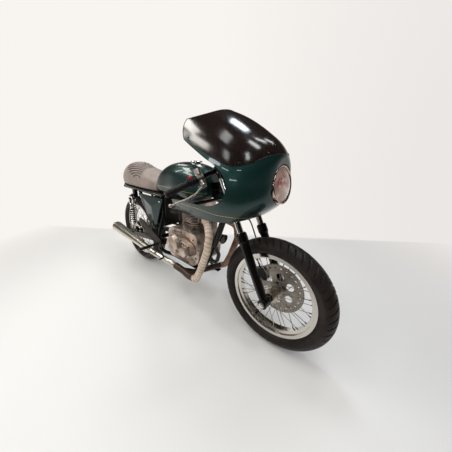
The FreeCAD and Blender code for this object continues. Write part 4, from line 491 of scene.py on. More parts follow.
def drawn(name, points, edges, faces):
    """A new object, picked, from points and the edges or faces between them."""
    mesh = bpy.data.meshes.new(name)
    mesh.from_pydata(points, edges, faces)
    made = bpy.data.objects.new(name, mesh)
    scene.collection.objects.link(made)
    pick(made)
    return made


def swept_pipe(name, corners, radius, lap, material):
    """A pipe along a bent run of the upright bike. lap is how much each tape turn stands up."""
    run, lengths = bent_run([Vector(c) / 1000 for c in corners])
    out = (run[1] - run[0]).orthogonal()
    points, turns = [], []
    for i, centre in enumerate(run):
        way = (run[min(i + 1, len(run) - 1)] - run[max(i - 1, 0)]).normalized()
        out = (out - way * out.dot(way)).normalized()
        for k in range(PIPE_SIDES):
            angle = 2 * math.pi * k / PIPE_SIDES
            turns.append((lengths[i] / TAPE_TURN + k / PIPE_SIDES) % 1.0)
            spoke = out * math.cos(angle) + way.cross(out) * math.sin(angle)
            points.append(parked @ (centre + spoke * (radius + lap * (turns[-1] - TAPE_LEVEL))))
    last = (len(run) - 1) * PIPE_SIDES
    faces = [(i + k, i + after, i + PIPE_SIDES + after, i + PIPE_SIDES + k)
             for i in range(0, last, PIPE_SIDES)
             for k, after in zip(range(PIPE_SIDES), [*range(1, PIPE_SIDES), 0])]
    faces += [tuple(reversed(range(PIPE_SIDES))), tuple(range(last, last + PIPE_SIDES))]
    pipe = drawn(name, points, [], faces)
    mark_points(pipe, "turn", turns)
    bpy.ops.object.shade_smooth_by_angle(angle=math.radians(50))
    return finish_piece(pipe, name, material, "chassis")


# woven glass header tape: dull dry cloth, a weave about 2 mm across, a shadow under each lap
for name, low, high in (("cream_header_tape", "#b39c88", "#e0cfbd"),
                        ("browned_header_tape", "#6a4435", "#b08f78")):
    tree, spot, skin = new_finish(name)
    weave = add(tree, "TexVoronoi", {"Vector": spot, "Scale": 480.0})
    bump = add(tree, "Bump", {"Height": weave, "Strength": 0.6, "Distance": 0.0008})
    soot = add(tree, "TexNoise", {"Vector": spot, "Scale": 9.0, "Detail": 6.0})
    tint = add(tree, "ValToRGB", {0: soot}, stops=((0.32, low), (0.62, high)))
    lap = add(tree, "Attribute", attribute_name="turn")
    shade = add(tree, "ValToRGB", {0: lap.outputs["Fac"]},
                stops=((0.0, "#b9afa7"), (0.6, "#ffffff")))
    lined = add(tree, "MixRGB", {"Fac": 0.9, "Color1": tint, "Color2": shade},
                blend_type="MULTIPLY")
    feed(skin, {"Base Color": lined, "Roughness": 0.85, "IOR": 1.5, "Normal": bump})

# scorched mild steel: heat-blued brown, half matt
mottled("scorched_pipe_steel", 22.0, 6.0, (0.0, "#1b1513"), (1.0, "#6f5f53"),
        {"Metallic": 0.8, "Roughness": 0.48})

# the runs' corners in millimetres, the pipes' upper halves being mirror images
PORT_X = 205.3
UPPER_RUN = [(PORT_X, 62, 640), (PORT_X + 24, 62, 640), (PORT_X + 60, 74.4, 632),
             (338, 128, 590), (334, 146, 490)]
RIGHT_LEG = [(276, -150, 335), (238, -150, 262), (204, -149.5, 255.5)]
LEFT_LEG = [(276, 150, 335), (232, 148, 240), (211, 119, 236)]
CROSSOVER = [(215, 125, 237), (190, 90, 232), (160, 0, 232), (140, -80, 234), (92, -148, 262)]
COLLECTOR = [(210, -149.6, 257), (170, -149, 250), (92, -148, 262), (20, -152, 270)]
wrapped = swept_pipe("right_header", [(x, -y, z) for x, y, z in UPPER_RUN] + RIGHT_LEG,
                     HEADER_RADIUS, TAPE_STEP, "cream_header_tape")
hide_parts("exhaust_headers")
swept_pipe("left_header", UPPER_RUN + LEFT_LEG, HEADER_RADIUS, TAPE_STEP, "browned_header_tape")
swept_pipe("crossover_pipe", CROSSOVER, HEADER_RADIUS - 0.0012, 0, "scorched_pipe_steel")
swept_pipe("collector", COLLECTOR, HEADER_RADIUS + 0.001, 0, "scorched_pipe_steel")

# Bodywork: pressed steel tank and panels and a moulded shell, all in one dark green lacquer.
# Fine aluminium flake under a deep clear coat, its glints painted into the colour: green face on,
# painted shade almost black on the turn.
tree, spot, skin = new_finish("green_flake_lacquer")
flake = add(tree, "TexVoronoi", {"Vector": spot, "Scale": 1400.0})
# random tints per flake: real flake with painted glints
flake_painted_glints = add(tree, "MixRGB", {"Fac": 0.22, "Color1": "#143a36",
                               "Color2": flake.outputs["Color"]}, blend_type="SOFT_LIGHT")
# painted shade: the colour goes almost black where the surface turns away from the view
sheen = add(tree, "LayerWeight", {"Blend": 0.35})
turned = add(tree, "MixRGB", {"Fac": sheen.outputs["Facing"], "Color1": flake_painted_glints,
                              "Color2": "#10191c"})
bump = raised_grain(tree, spot, 120.0, 2.0, 0.03, 0.0004)
feed(skin, {"Base Color": turned, "Metallic": 0.62, "Roughness": 0.36, "Coat Weight": 1.0,
            "Coat Roughness": 0.04, "Coat IOR": 1.33, "Coat Normal": bump})
wear("green_flake_lacquer", "fuel_tank", "side_panels", "fairing")

# smoked screen: drawn acrylic, tinted so dark that it reads as a brown black mirror
tree, spot, skin = new_finish("smoked_acrylic")
bump = raised_grain(tree, spot, 9.0, 2.0, 0.06, 0.004)
tint = two_tones(tree, spot, 160.0, 6.0, (0.45, "#140e0d"), (0.8, "#2c211e"))
feed(skin, {"Base Color": tint, "Roughness": 0.16, "IOR": 1.49, "Normal": bump})
wear("smoked_acrylic", "windscreen")

# Headlamp glass: pressed glass over a bright reflector, read as one, its colour a painted
# reflection: cream from the room, with upright flutes, a reddish band above the middle where the
# bulb's hood shows, pale painted highlights along the flutes, and a gloss.
LENS_MIDDLE, LENS_TILT = (0.681, 0, 0.909), -8
lens_place = (parked @ Matrix.Translation(LENS_MIDDLE)
              @ Matrix.Rotation(math.radians(LENS_TILT), 4, "Y"))
tree, spot, skin = new_finish("fluted_lamp_glass")
local = add(tree, "Mapping", {"Vector": spot, "Location": tuple(lens_place.translation),
                              "Rotation": tuple(lens_place.to_euler())}, vector_type="TEXTURE")
parts = add(tree, "SeparateXYZ", {0: local})
flutes = add(tree, "TexWave", {"Vector": local, "Scale": 38.0}, bands_direction="Y")
cross = add(tree, "TexWave", {"Vector": local, "Scale": 13.0}, bands_direction="Z")
pressed = add(tree, "Math", {0: cross.outputs[1], 1: 0.35, 2: flutes.outputs[1]},
              operation="MULTIPLY_ADD")
bump = add(tree, "Bump", {"Height": pressed, "Strength": 0.45, "Distance": 0.0016})
# a painted reflection of the room, cream
cream = two_tones(tree, local, 20.0, 3.0, (0.4, "#94786c"), (0.62, "#d0bab0"))
# a painted reflection of the bulb's hood: a reddish band above the middle, in patches
height = add(tree, "Math", {0: parts.outputs["Z"], 1: 0.020}, operation="SUBTRACT")
height = add(tree, "Math", {0: height}, operation="ABSOLUTE")
band = add(tree, "MapRange", {"Value": height, "From Min": 0.012, "From Max": 0.042,
                              "To Min": 1.0, "To Max": 0.0})
patch = add(tree, "TexNoise", {"Vector": local, "Scale": 62.0, "Detail": 4.0})
patch = add(tree, "MapRange", {"Value": patch, "From Min": 0.40, "From Max": 0.58, "To Min": 0.25})
warm = add(tree, "Math", {0: band, 1: patch}, operation="MULTIPLY")
lens_painted_reflections = add(tree, "MixRGB", {"Fac": warm, "Color1": cream, "Color2": "#83392a"})
# painted highlights along the flutes
flute_highlight_share = add(tree, "Math", {0: flutes.outputs[1], 1: 0.22}, operation="MULTIPLY")
flute_painted_highlights = add(tree, "MixRGB", {"Fac": flute_highlight_share, "Color1": lens_painted_reflections, "Color2": "#e2d2c8"})
feed(skin, {"Base Color": flute_painted_highlights, "Roughness": 0.2, "IOR": 1.5, "Metallic": 0.2, "Normal": bump,
            "Coat Weight": 1.0, "Coat Roughness": 0.03})
wear("fluted_lamp_glass", "headlamp_lens")

# tail lamp: a moulded red acrylic dome with fine rings
tree, spot, skin = new_finish("red_lamp_acrylic")
rings = add(tree, "TexWave", {"Vector": spot, "Scale": 60.0}, bands_direction="Z")
bump = add(tree, "Bump", {"Height": rings.outputs[1], "Strength": 0.4, "Distance": 0.001})
feed(skin, {"Base Color": "#8e1210", "Roughness": 0.16, "IOR": 1.49, "Normal": bump,
            "Coat Weight": 1.0, "Coat Roughness": 0.03})
wear("red_lamp_acrylic", "tail_lamp")

# Seat: moulded foam under taupe leather, bulging a little between its edges, with quilted
# channels sewn over the hump's sides and top. It replaces the CAD cushion.
SEAT_VOXEL, SEAT_CAP = 0.006, 0.006
PUFF_PRESSURE, PUFF_STEPS = 4, 20
PAN_TOP, TANK_END = 0.760, -0.238
PLEAT_PITCH, SEAM_DEPTH, SEAM_WIDTH = 0.0195, 0.0065, 0.0040
HUMP_FOOT, HUMP_REAR, HUMP_FRONT = 0.833, -0.72, -0.40
ARCH_X, ARCH_Y, ARCH_Z, ARCH_STRETCH = -0.485, 0.122, 0.836, 0.42


def merged_copy(name):
    """A CAD node's mesh as one welded piece, to be worked on."""
    copy = nodes[name].copy()
    copy.data = nodes[name].data.copy()
    copy.parent = None
    for key in [k for k in copy.keys() if k.startswith("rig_")]:
        del copy[key]
    scene.collection.objects.link(copy)
    pick(copy)
    bpy.ops.object.mode_set(mode="EDIT")
    bpy.ops.mesh.select_all(action="SELECT")
    bpy.ops.mesh.remove_doubles(threshold=0.00002)
    bpy.ops.object.mode_set(mode="OBJECT")
    return copy


def channel_depth(local):
    """How deep a sewn channel pulls the leather in at a point of the upright bike, 0 to 1."""
    x, y, z = local
    if z < HUMP_FOOT or not HUMP_REAR <= x <= HUMP_FRONT:
        return 0.0
    # arches nested about a point low on each flank of the hump, wider than they are high; both
    # sides' arches meet over the top as pleats
    up = math.hypot(z - ARCH_Z, ARCH_Y - abs(y))
    ring = math.hypot(ARCH_STRETCH * (x - ARCH_X), up) / PLEAT_PITCH
    near = abs(ring - round(ring)) * PLEAT_PITCH
    # their ends lie on lines that lean back with height, and fade out
    rear = -min(0.69, 0.545 + (z - 0.84) * 2.2)
    front = -0.43 - max(0.0, z - 0.88) * 0.9
    fade = min(1.0, (x - rear) / 0.012, (front - x) / 0.012, (ring - 0.6) / 0.3)
    return max(0.0, fade) * math.exp(-(near / SEAM_WIDTH) ** 2)


seat = merged_copy("seat_cushion")
shell = seat.modifiers.new("skin", "REMESH")
shell.mode = "VOXEL"
shell.voxel_size = SEAT_VOXEL
bpy.ops.object.modifier_apply(modifier="skin")
rest = [v.co.copy() for v in seat.data.vertices]
puff = seat.modifiers.new("puff", "CLOTH")
puff.settings.use_pressure = True
puff.settings.uniform_pressure_force = PUFF_PRESSURE
puff.settings.effector_weights.gravity = 0
for step in range(1, PUFF_STEPS + 1):
    scene.frame_set(step)
bpy.ops.object.modifier_apply(modifier="puff")
scene.frame_set(1)
for vertex, before in zip(seat.data.vertices, rest):
    move = vertex.co - before
    if move.length > SEAT_CAP:
        move = move * (SEAT_CAP / move.length)
    # it lies flat on its pan and meets the tank without a swell
    x, _, z = upright @ before
    keep = min(1.0, max(0.0, (z - PAN_TOP) / 0.02)) * min(1.0, max(0.0, (TANK_END - x) / 0.03))
    vertex.co = before + move * keep
pick(seat)
fine = seat.modifiers.new("fine", "SUBSURF")
fine.levels = fine.render_levels = 1
bpy.ops.object.modifier_apply(modifier="fine")
seat.data.update()
depths = [channel_depth(upright @ v.co) for v in seat.data.vertices]
normals = [v.normal.copy() for v in seat.data.vertices]
for vertex, normal, depth in zip(seat.data.vertices, normals, depths):
    vertex.co -= normal * depth * SEAM_DEPTH
mark_points(seat, "channel", depths)
bpy.ops.object.shade_smooth()

# taupe leather: drum-dyed cowhide, a pebbled grain about 1.2 mm across, its tone drifting at
# random, with dark thread and painted shade down in the channels
tree, spot, skin = new_finish("taupe_seat_leather")
grain = add(tree, "TexVoronoi", {"Vector": spot, "Scale": 700.0})
crease = add(tree, "TexNoise", {"Vector": spot, "Scale": 60.0, "Detail": 6.0})
heights = add(tree, "Math", {0: crease, 1: 1.5, 2: grain}, operation="MULTIPLY_ADD")
bump = add(tree, "Bump", {"Height": heights, "Strength": 0.35, "Distance": 0.0006})
tint = two_tones(tree, spot, 8.0, 5.0, (0.3, "#766a62"), (0.7, "#93857c"))
sewn = add(tree, "Attribute", attribute_name="channel")
shaded = add(tree, "MixRGB", {"Fac": sewn.outputs["Fac"], "Color1": tint, "Color2": "#2a2124"})
feed(skin, {"Base Color": shaded, "Roughness": 0.5, "IOR": 1.48, "Normal": bump,
            "Sheen Weight": 0.15, "Sheen Roughness": 0.4})
finish_piece(seat, "quilted_seat", "taupe_seat_leather", "chassis")
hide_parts("seat_cushion")

# Coachlines: a 2 mm gold line brushed along the fairing's lower edge band and one on the tank's
# flank, each side, drawn as thin strips on the shells.
STRIPE = [(0.117, 0.765), (0.20, 0.7665), (0.28, 0.7685), (0.345, 0.769), (0.40, 0.764),
          (0.457, 0.759), (0.485, 0.7585), (0.510, 0.759), (0.542, 0.757), (0.570, 0.755),
          (0.595, 0.753)]
TANK_STRIPE = [(-0.19, 0.812), (-0.08, 0.815), (0.03, 0.816), (0.13, 0.813), (0.21, 0.812),
               (0.243, 0.818)]
STRIPE_WIDTH, STRIPE_LIFT = 0.0022, 0.00035
mottled("gold_coachline_paint", 90.0, 2.0, (0.0, "#8f7a36"), (1.0, "#c9b060"),
        {"Roughness": 0.3, "Metallic": 0.3, "Coat Weight": 1.0, "Coat Roughness": 0.05})


def faces_of(name):
    """A search tree over a CAD node's faces."""
    data = nodes[name].data
    return BVHTree.FromPolygons([v.co for v in data.vertices],
                                [p.vertices for p in data.polygons])


def level_hit(trees, x, z, side, start, reach):
    """Where a level line from a side of the upright bike, -1 the right and 1 the left, first meets
    some faces: the point, the face's way out and the line's way back. Or None."""
    back = (parked.to_3x3() @ Vector((0, side, 0))).normalized()
    spot = parked @ Vector((x, side * start, z))
    hits = [h for h in (t.ray_cast(spot, -back, reach) for t in trees) if h[0] is not None]
    if not hits:
        return None
    point, normal, _, _ = min(hits, key=lambda h: h[3])
    return point, normal if normal.dot(back) > 0 else -normal, back


def lay_stripe(name, faces, path, side, reach):
    """Lays a thin painted strip on a shell, through points (x, z) of the upright bike."""
    spots = [Vector((x, 0, z)) for x, z in path]
    rows = [a.lerp(b, t) for a, b in zip(spots, spots[1:]) for t in np.linspace(0, 1, 9)[:-1]]
    found = []
    for p in rows + spots[-1:]:
        hits = [level_hit([faces], p.x, p.z + lift, side, reach, reach)
                for lift in (-STRIPE_WIDTH / 2, STRIPE_WIDTH / 2)]
        if all(hits):
            found.append([point + out * STRIPE_LIFT for point, out, _ in hits])
    strips = [(0, 1, 3, 2) if side > 0 else (0, 2, 3, 1)] * (len(found) - 1)
    stripe = drawn(name, [v for pair in found for v in pair], [],
                   [[2 * i + k for k in strip] for i, strip in enumerate(strips)])
    finish_piece(stripe, name, "gold_coachline_paint", "chassis")


fairing_faces, tank_faces = faces_of("fairing"), faces_of("fuel_tank")
for side, word in ((-1, "right"), (1, "left")):
    lay_stripe(word + "_pinstripe", fairing_faces, STRIPE, side, 0.6)
    lay_stripe(word + "_tank_stripe", tank_faces, TANK_STRIPE, side, 0.3)

# Silencer: a rolled and seam-welded stainless shell with a spun end, brushed to a broad satin
# shine. Each is a welded copy of its CAD node, shaded smooth so that no facet shows.
hazed_metal("brushed_stainless", "#ddd7cb", 24.0, 2.0, 0.27, 0.35)
for node_name, piece_name in (("silencer", "silencer_shell"), ("silencer_tip", "silencer_end")):
    smooth = merged_copy(node_name)
    bpy.ops.object.shade_smooth_by_angle(angle=math.radians(32))
    finish_piece(smooth, piece_name, "brushed_stainless", "chassis")
    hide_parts(node_name)

# Small turned hardware: screws, nuts and rings, cut from bar. Each kind is turned once and
# copied to its places; a place's Z is the way that the head faces.


def turned_piece(profile, steps=16):
    """A closed profile of (radius, height) corners, spun about Z."""
    made = spun([Vector((radius, 0, height)) for radius, height in profile], (0, 0, 1), steps,
                0.00001)
    bpy.ops.object.shade_smooth_by_angle(angle=math.radians(35))
    return made


def joined(objects):
    """These objects as one."""
    pick(*objects)
    bpy.ops.object.join()
    return objects[0]


def spread(source, places):
    """One copy of a piece at each place, joined as one piece."""
    copies = []
    for place in places:
        copy = source.copy()
        copy.data = source.data.copy()
        copy.data.transform(place)
        scene.collection.objects.link(copy)
        copies.append(copy)
    bpy.data.objects.remove(source)
    return joined(copies)


def facing(point, way):
    """A place at a point, its Z turned along a direction."""
    return Matrix.Translation(point) @ Vector(way).to_track_quat("Z", "Y").to_matrix().to_4x4()


# black button screws hold the screen to the shell, three each side, at (x, y, z) of the upright
# bike
screen_faces = faces_of("windscreen")
button = turned_piece([(0, -0.001), (0.0052, -0.001), (0.0052, 0.0008), (0.0036, 0.0026),
                       (0.0016, 0.0031), (0.0016, 0.0016), (0, 0.0016)])
SCREEN_SCREWS = ((0.265, 0.1964, 1.100), (0.5743, 0.1937, 1.0001), (0.6448, 0.096, 1.0404))
INSIDE_SHELL = parked @ Vector((0.35, 0, 0.9))
spots = []
for x, y, z in SCREEN_SCREWS:
    for side in (-1, 1):
        near, normal, _, _ = screen_faces.find_nearest(parked @ Vector((x, side * y, z)))
        outward = normal if normal.dot(near - INSIDE_SHELL) > 0 else -normal
        spots.append(facing(near, outward))
finish_piece(spread(button, spots), "screen_screws", "black_moulded_plastic", "chassis")

# Beads: thin rubber or metal edging pushed onto the edges of the screen and of the seat's pan,
# drawn as a round bead along the sharp edges of those CAD nodes.
SHARP, ON_SHELL = 0.75, 0.0025
PIPING_FROM, PAN_UPPER, PAN_LOWER = -0.15, 0.753, 0.748
INSIDE_SCREEN = parked @ Vector((0.35, 0, 0.92))


def bead_along(name, node, wanted, radius, material="black_moulded_plastic"):
    """A round bead along the sharp edges of a CAD node whose middle and faces pass a test."""
    source = merged_copy(node)
    form = bmesh.new()
    form.from_mesh(source.data)
    bpy.data.objects.remove(source)
    chosen = [e for e in form.edges if len(e.link_faces) == 2 and e.calc_face_angle(0) > SHARP
              and wanted((e.verts[0].co + e.verts[1].co) / 2, [f.normal for f in e.link_faces])]
    order = {}
    for edge in chosen:
        for vertex in edge.verts:
            order.setdefault(vertex, len(order))
    bead = drawn(name, [v.co.copy() for v in order],
                 [[order[v] for v in e.verts] for e in chosen], [])
    form.free()
    bpy.ops.object.convert(target="CURVE")
    bead.data.bevel_depth = radius
    bead.data.bevel_resolution = 1
    bead.data.use_fill_caps = True
    bpy.ops.object.convert(target="MESH")
    bpy.ops.object.shade_smooth()
    finish_piece(bead, name, material, "chassis")


def on_outside(spot, ways):
    """Whether an edge of the screen is the outer one of its wall's two."""
    out = (spot - INSIDE_SCREEN).normalized()
    return all(way.dot(out) > -0.35 for way in ways)


def near_shell(spot):
    """Whether an edge of the screen lies on the fairing."""
    return fairing_faces.find_nearest(spot)[3] < ON_SHELL


def behind_tank(spot):
    """Whether an edge of the seat's pan lies clear of the tank."""
    return (upright @ spot).x < PIPING_FROM


bead_along("screen_gasket", "windscreen",
           lambda spot, ways: on_outside(spot, ways) and near_shell(spot), 0.0013)
bead_along("screen_edging", "windscreen",
           lambda spot, ways: on_outside(spot, ways) and not near_shell(spot), 0.0016)
bead_along("seat_piping", "seat_pan",
           lambda spot, ways: (upright @ spot).z > PAN_UPPER and behind_tank(spot), 0.0026)
bead_along("seat_base_trim", "seat_pan",
           lambda spot, ways: (upright @ spot).z < PAN_LOWER and behind_tank(spot), 0.0015,
           "polished_aluminium")

# Wheel fittings: nickelled brass nipples where the spokes meet the rim, a valve in each rim, the
# axle's chromed nut at the fork foot and the hub's black rubber seal.
hazed_metal("dark_nickel", "#6f655c", 90.0, 2.0, 0.25, 0.4)
SPOKES, SPOKE_LEAN, RIM_END, RIM_ASIDE = 36, math.radians(46), 0.2102, 0.007
VALVE_OUT, VALVE_TURN = 0.2110, math.radians(245)
# each wheel's flanges, right and left: how far off its middle, and the circle of their holes
for word, axle, flanges in (("front", FRONT_AXLE, ((-0.032, 0.040), (0.032, 0.040))),
                            ("rear", REAR_AXLE, ((-0.054, 0.0942), (0.042, 0.054)))):
    wheel = parked @ Matrix.Translation(axle)
    nipple = turned_piece([(0.0020, -0.013), (0.0027, -0.013), (0.0030, -0.004),
                           (0.0036, 0.0), (0.0020, 0.0)], 8)
    spots = []
    for number in range(SPOKES):
        side = 1 if number % 2 else -1
        middle, circle = flanges[number % 2]
        outer = 1 if (number // 2) % 2 else -1
        at_rim = 2 * math.pi * number / SPOKES
        at_hub = at_rim + outer * SPOKE_LEAN
        stand = 0.005 + (0.001 if outer > 0 else 0)
        start = Vector((circle * math.cos(at_hub), middle + side * outer * stand,
                        circle * math.sin(at_hub)))
        end = Vector((RIM_END * math.cos(at_rim), side * RIM_ASIDE, RIM_END * math.sin(at_rim)))
        spots.append(wheel @ facing(end - (end - start).normalized() * 0.0005, end - start))
    finish_piece(spread(nipple, spots), word + "_nipples", "dark_nickel", word + "_wheel")
    valve = turned_piece([(0, -0.030), (0.0028, -0.030), (0.0028, -0.020), (0.0040, -0.019),
                          (0.0040, -0.006), (0.0065, -0.004), (0.0065, -0.0005),
                          (0, -0.0005)], 12)
    way = Vector((math.cos(VALVE_TURN), 0, math.sin(VALVE_TURN)))
    valve.data.transform(wheel @ facing(way * VALVE_OUT, way))
    finish_piece(valve, word + "_valve", "black_moulded_plastic", word + "_wheel")
nut = turned_piece([(0, 0), (0.0135, 0), (0.0135, 0.009), (0.011, 0.011), (0.008, 0.011),
                    (0.007, 0.014), (0, 0.014)], 6)
seal = turned_piece([(0.0105, 0), (0.0235, 0), (0.0235, 0.004), (0.020, 0.007),
                     (0.0105, 0.007)], 24)
for piece, y, name, material, slot in (
        (nut, -0.1216, "axle_nut", "chrome_plate", "chrome"),
        (seal, -0.0475, "hub_seal", "road_rubber", "grip_rubber")):
    piece.data.transform(parked @ facing(FRONT_AXLE + Vector((0, y, 0)), (0, -1, 0)))
    finish_piece(piece, name, material, "steering")

# Right switch: a red moulded rocker on top of the twistgrip's housing, placed along the bar in
# the fork's frame.
tree, spot, skin = new_finish("red_moulded_plastic")
bump = raised_grain(tree, spot, 500.0, 2.0, 0.1, 0.0003)
feed(skin, {"Base Color": "#c81d22", "Roughness": 0.35, "IOR": 1.46, "Normal": bump})
BAR_WAY, BAR_FOOT = Vector((-0.41399, -0.88781, -0.20108)), Vector((0, -0.098, 0.721))
HOUSING_ALONG, HOUSING_TOP = 0.158, 0.0245
above = Vector((0.46175, 0, 0.88701))
above = (above - BAR_WAY * above.dot(BAR_WAY)).normalized()
bpy.ops.object.select_all(action="DESELECT")
bpy.ops.mesh.primitive_cube_add(size=0.014)
rocker = bpy.context.object
bpy.ops.object.mode_set(mode="EDIT")
bpy.ops.mesh.select_all(action="SELECT")
bpy.ops.transform.resize(value=(1.0, 1.3, 0.8))
bpy.ops.mesh.bevel(offset=0.002, segments=3)
bpy.ops.object.mode_set(mode="OBJECT")
rocker.data.transform(fork @ facing(BAR_FOOT + BAR_WAY * HOUSING_ALONG + above * HOUSING_TOP,
                                    above))
bpy.ops.object.shade_smooth_by_angle(angle=math.radians(35))
finish_piece(rocker, "kill_switch", "red_moulded_plastic", "steering")

# Clocks: two black dials under polished rings, with plain white ticks and a red needle.
CLOCK_FORE, CLOCK_SIDE, CLOCK_TOP = 0.046, 0.046, 0.7664
TICKS, TICK_RING, TICK_REACH = 24, 0.0275, 0.0035
tree, _, skin = new_finish("printed_clock_dial")
place_on = add(tree, "Attribute", attribute_name="dial")
parts = add(tree, "SeparateXYZ", {0: place_on.outputs["Vector"]})
angle = add(tree, "Math", {0: parts.outputs["Y"], 1: parts.outputs["X"]}, operation="ARCTAN2")
distance = add(tree, "VectorMath", {0: place_on.outputs["Vector"]}, operation="LENGTH")
ticks = add(tree, "Math", {0: angle, 1: TICKS / (2 * math.pi)}, operation="MULTIPLY")
ticks = add(tree, "Math", {0: ticks}, operation="FRACT")
on_tick = add(tree, "Math", {0: ticks, 1: 0.2}, operation="LESS_THAN")
ring = add(tree, "Math", {0: distance.outputs["Value"], 1: TICK_RING, 2: TICK_REACH},
           operation="COMPARE")
mark = add(tree, "Math", {0: on_tick, 1: ring}, operation="MULTIPLY")
tint = add(tree, "MixRGB", {"Fac": mark, "Color1": "#0e0d0d", "Color2": "#e8e4dc"})
feed(skin, {"Base Color": tint, "Roughness": 0.3, "Coat Weight": 1.0, "Coat Roughness": 0.02})
for word, side in (("right", -1), ("left", 1)):
    top = Matrix.Translation((CLOCK_FORE, side * CLOCK_SIDE, CLOCK_TOP))
    ring = turned_piece([(0.0352, 0.0), (0.0385, 0.0), (0.0398, 0.002), (0.0390, 0.0052),
                         (0.0362, 0.0058), (0.0352, 0.004)], 40)
    ring.data.transform(fork @ top)
    finish_piece(ring, word + "_clock_ring", "polished_aluminium", "steering")
    face = turned_piece([(0, 0.0003), (0.0352, 0.0003), (0.0352, 0.0012), (0.018, 0.0014),
                         (0, 0.0014)], 40)
    face.data.attributes.new("dial", "FLOAT_VECTOR", "POINT").data.foreach_set(
        "vector", np.array([v.co[:] for v in face.data.vertices], np.float32).ravel())
    face.data.transform(fork @ top)
    finish_piece(face, word + "_clock_dial", "printed_clock_dial", "steering")
    needle = turned_piece([(0, -0.006), (0.0012, -0.006), (0.0006, 0.022), (0, 0.024)], 6)
    needle.data.transform(fork @ top @ facing(Vector((0, 0, 0.0028)), (-0.5, side * 0.8, 0)))
    finish_piece(needle, word + "_clock_needle", "red_moulded_plastic", "steering")

# Fork caps: chromed hexagon plugs in the tops of the fork tubes.
CAP_Y, CAP_Z = 0.098, 0.7402
cap = turned_piece([(0, 0), (0.0155, 0), (0.0155, 0.003), (0.0125, 0.0045), (0.0125, 0.011),
                    (0.010, 0.013), (0, 0.013)], 6)
finish_piece(spread(cap, [fork @ Matrix.Translation((0, side * CAP_Y, CAP_Z))
                          for side in (-1, 1)]), "fork_caps", "chrome_plate", "steering")

# Engine screws: socket heads in the covers' and cases' faces, on circles of a middle (x, z), a
# radius, a count and the first one's turn, wherever a line from that side meets a flat face.
SCREW_RINGS = (((0.015, 0.440), 0.0865, 7, 20), ((0.139, 0.430), 0.046, 5, 50),
               ((0.139, 0.430), 0.075, 6, 10), ((0.065, 0.345), 0.05, 3, 200))
OUTSIDE, DEEPEST, FLAT_ON = 0.5, 0.48, 0.95
case_faces = [faces_of(n) for n in ("crankcase", "engine_side_covers", "cylinder_head",
                                    "cam_cover")]
socket = turned_piece([(0, -0.002), (0.0052, -0.002), (0.0052, 0.0035), (0.0045, 0.0042),
                       (0.0026, 0.0042), (0.0026, 0.0018), (0, 0.0018)], 12)
spots = []
for side in (-1, 1):
    for (x, z), radius, count, first in SCREW_RINGS:
        for k in range(count):
            turn = math.radians(first + 360 * k / count)
            found = level_hit(case_faces, x + radius * math.cos(turn),
                              z + radius * math.sin(turn), side, OUTSIDE, DEEPEST)
            if found and found[1].dot(found[2]) > FLAT_ON:
                spots.append(facing(found[0], found[2]))
finish_piece(spread(socket, spots), "engine_screws", "dark_nickel", "chassis")

# Header clamps: finned steel collars that hold each pipe to its port.
PORT_FACE, PORT_SIDE, PORT_UP = 0.2085, 0.062, 0.640
collar = turned_piece([(0.0236, 0.0), (0.030, 0.0), (0.030, 0.003), (0.0265, 0.0035),
                       (0.0265, 0.0065), (0.030, 0.007), (0.030, 0.010), (0.0236, 0.011)], 32)
spots = [parked @ facing(Vector((PORT_FACE, side * PORT_SIDE, PORT_UP)), (1, 0, 0))
         for side in (-1, 1)]
finish_piece(spread(collar, spots), "header_clamps", "dark_nickel", "chassis")

# Side panel screws: chromed domed heads at the panels' corners.
panel_faces = [faces_of("side_panels")]
dome_head = turned_piece([(0, -0.001), (0.0065, -0.001), (0.0065, 0.0008), (0.004, 0.0028),
                          (0, 0.0034)])
found = [level_hit(panel_faces, x, z, side, OUTSIDE, DEEPEST) for side in (-1, 1)
         for x, z in ((-0.175, 0.700), (-0.445, 0.700), (-0.305, 0.500))]
finish_piece(spread(dome_head, [facing(point, out) for point, out, _ in filter(None, found)]),
             "panel_screws", "chrome_plate", "chassis")

# Drive chain: stamped steel side plates on rollers, greased dark. It replaces the CAD loop.
CHAIN_PITCH, CHAIN_LINE = 0.015875, 0.080
FRONT_TEETH, REAR_TEETH = 17, 36
PLATE_ROUND, PLATE_WAIST = 0.0066, 0.0047
drive = Vector((-0.078, 0, 0.425))
small = CHAIN_PITCH / 2 / math.sin(math.pi / FRONT_TEETH)
large = CHAIN_PITCH / 2 / math.sin(math.pi / REAR_TEETH)
span = drive - REAR_AXLE
lean_up = math.atan2(span.z, span.x)
opening = math.acos((large - small) / span.length)
top, low = lean_up + opening, lean_up - opening
straight = span.length * math.sin(opening)
front_arc, rear_arc = small * 2 * opening, large * (2 * math.pi - 2 * opening)
total = 2 * straight + front_arc + rear_arc
links = round(total / CHAIN_PITCH)
step = total / links
mottled("greased_chain_steel", 110.0, 4.0, (0.0, "#1d1916"), (1.0, "#6a625a"),
        {"Metallic": 0.9, "Roughness": 0.4})


def on_circle(centre, radius, turn):
    """The point at a turn about a sprocket."""
    return centre + Vector((math.cos(turn), 0, math.sin(turn))) * radius


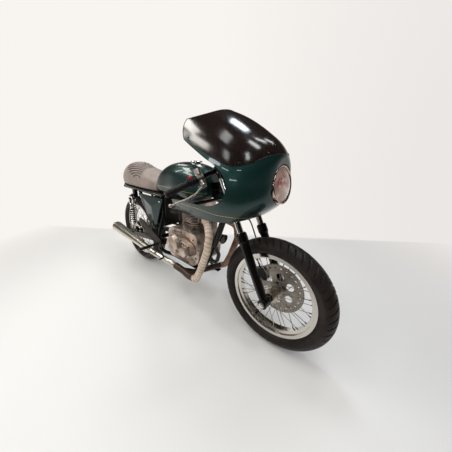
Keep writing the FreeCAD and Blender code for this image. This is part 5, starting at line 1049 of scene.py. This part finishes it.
def chain_spot(distance):
    """The point at a distance round the chain's loop, along the top run first."""
    distance %= total
    if distance < straight:
        return on_circle(REAR_AXLE, large, top).lerp(on_circle(drive, small, top),
                                                     distance / straight)
    distance -= straight
    if distance < front_arc:
        return on_circle(drive, small, top - distance / small)
    distance -= front_arc
    if distance < straight:
        return on_circle(drive, small, low).lerp(on_circle(REAR_AXLE, large, low),
                                                 distance / straight)
    return on_circle(REAR_AXLE, large, low - (distance - straight) / large)


def link_plate(half_length, y_from, y_to):
    """A waisted side plate, drawn as its outline and extruded."""
    outline = []
    for end in (1, -1):
        for k in range(5):
            turn = math.radians(45 * k - 90 * end)
            outline.append((end * half_length + PLATE_ROUND * math.cos(turn),
                            PLATE_ROUND * math.sin(turn)))
        outline.append((0, PLATE_WAIST * end))
    bpy.ops.object.select_all(action="DESELECT")
    bpy.ops.mesh.primitive_circle_add(vertices=len(outline), radius=0.01, fill_type="NGON")
    plate = bpy.context.object
    for vertex, (x, z) in zip(plate.data.vertices, outline):
        vertex.co = Vector((x, y_from, z))
    bpy.ops.object.mode_set(mode="EDIT")
    bpy.ops.mesh.select_all(action="SELECT")
    bpy.ops.mesh.extrude_region_move(TRANSFORM_OT_translate={"value": (0, y_to - y_from, 0)})
    bpy.ops.mesh.select_all(action="SELECT")
    bpy.ops.mesh.normals_make_consistent(inside=False)
    bpy.ops.object.mode_set(mode="OBJECT")
    return plate


def one_link(wide):
    """Two side plates and two pins or rollers of one link."""
    inner, outer = (0.0070, 0.0086) if wide else (0.0052, 0.0068)
    pin = 0.0025 if wide else 0.0042
    parts = [link_plate(step / 2, sign * inner, sign * outer) for sign in (-1, 1)]
    for end in (-1, 1):
        core = turned_piece([(0, -outer), (pin, -outer), (pin, outer), (0, outer)], 8)
        core.data.transform(Matrix.Translation((end * step / 2, 0, 0))
                            @ Matrix.Rotation(math.pi / 2, 4, "X"))
        parts.append(core)
    return joined(parts)


for word, wide, first in (("outer", True, 0), ("inner", False, 1)):
    spots = []
    for k in range(first, links, 2):
        a, b = chain_spot(k * step), chain_spot((k + 1) * step)
        turn = math.atan2(b.z - a.z, b.x - a.x)
        spots.append(parked @ Matrix.Translation((a + b) / 2 + Vector((0, CHAIN_LINE, 0)))
                     @ Matrix.Rotation(-turn, 4, "Y"))
    part = finish_piece(spread(one_link(wide), spots), word + "_chain_links",
                        "greased_chain_steel", "chassis")
    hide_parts("drive_chain")
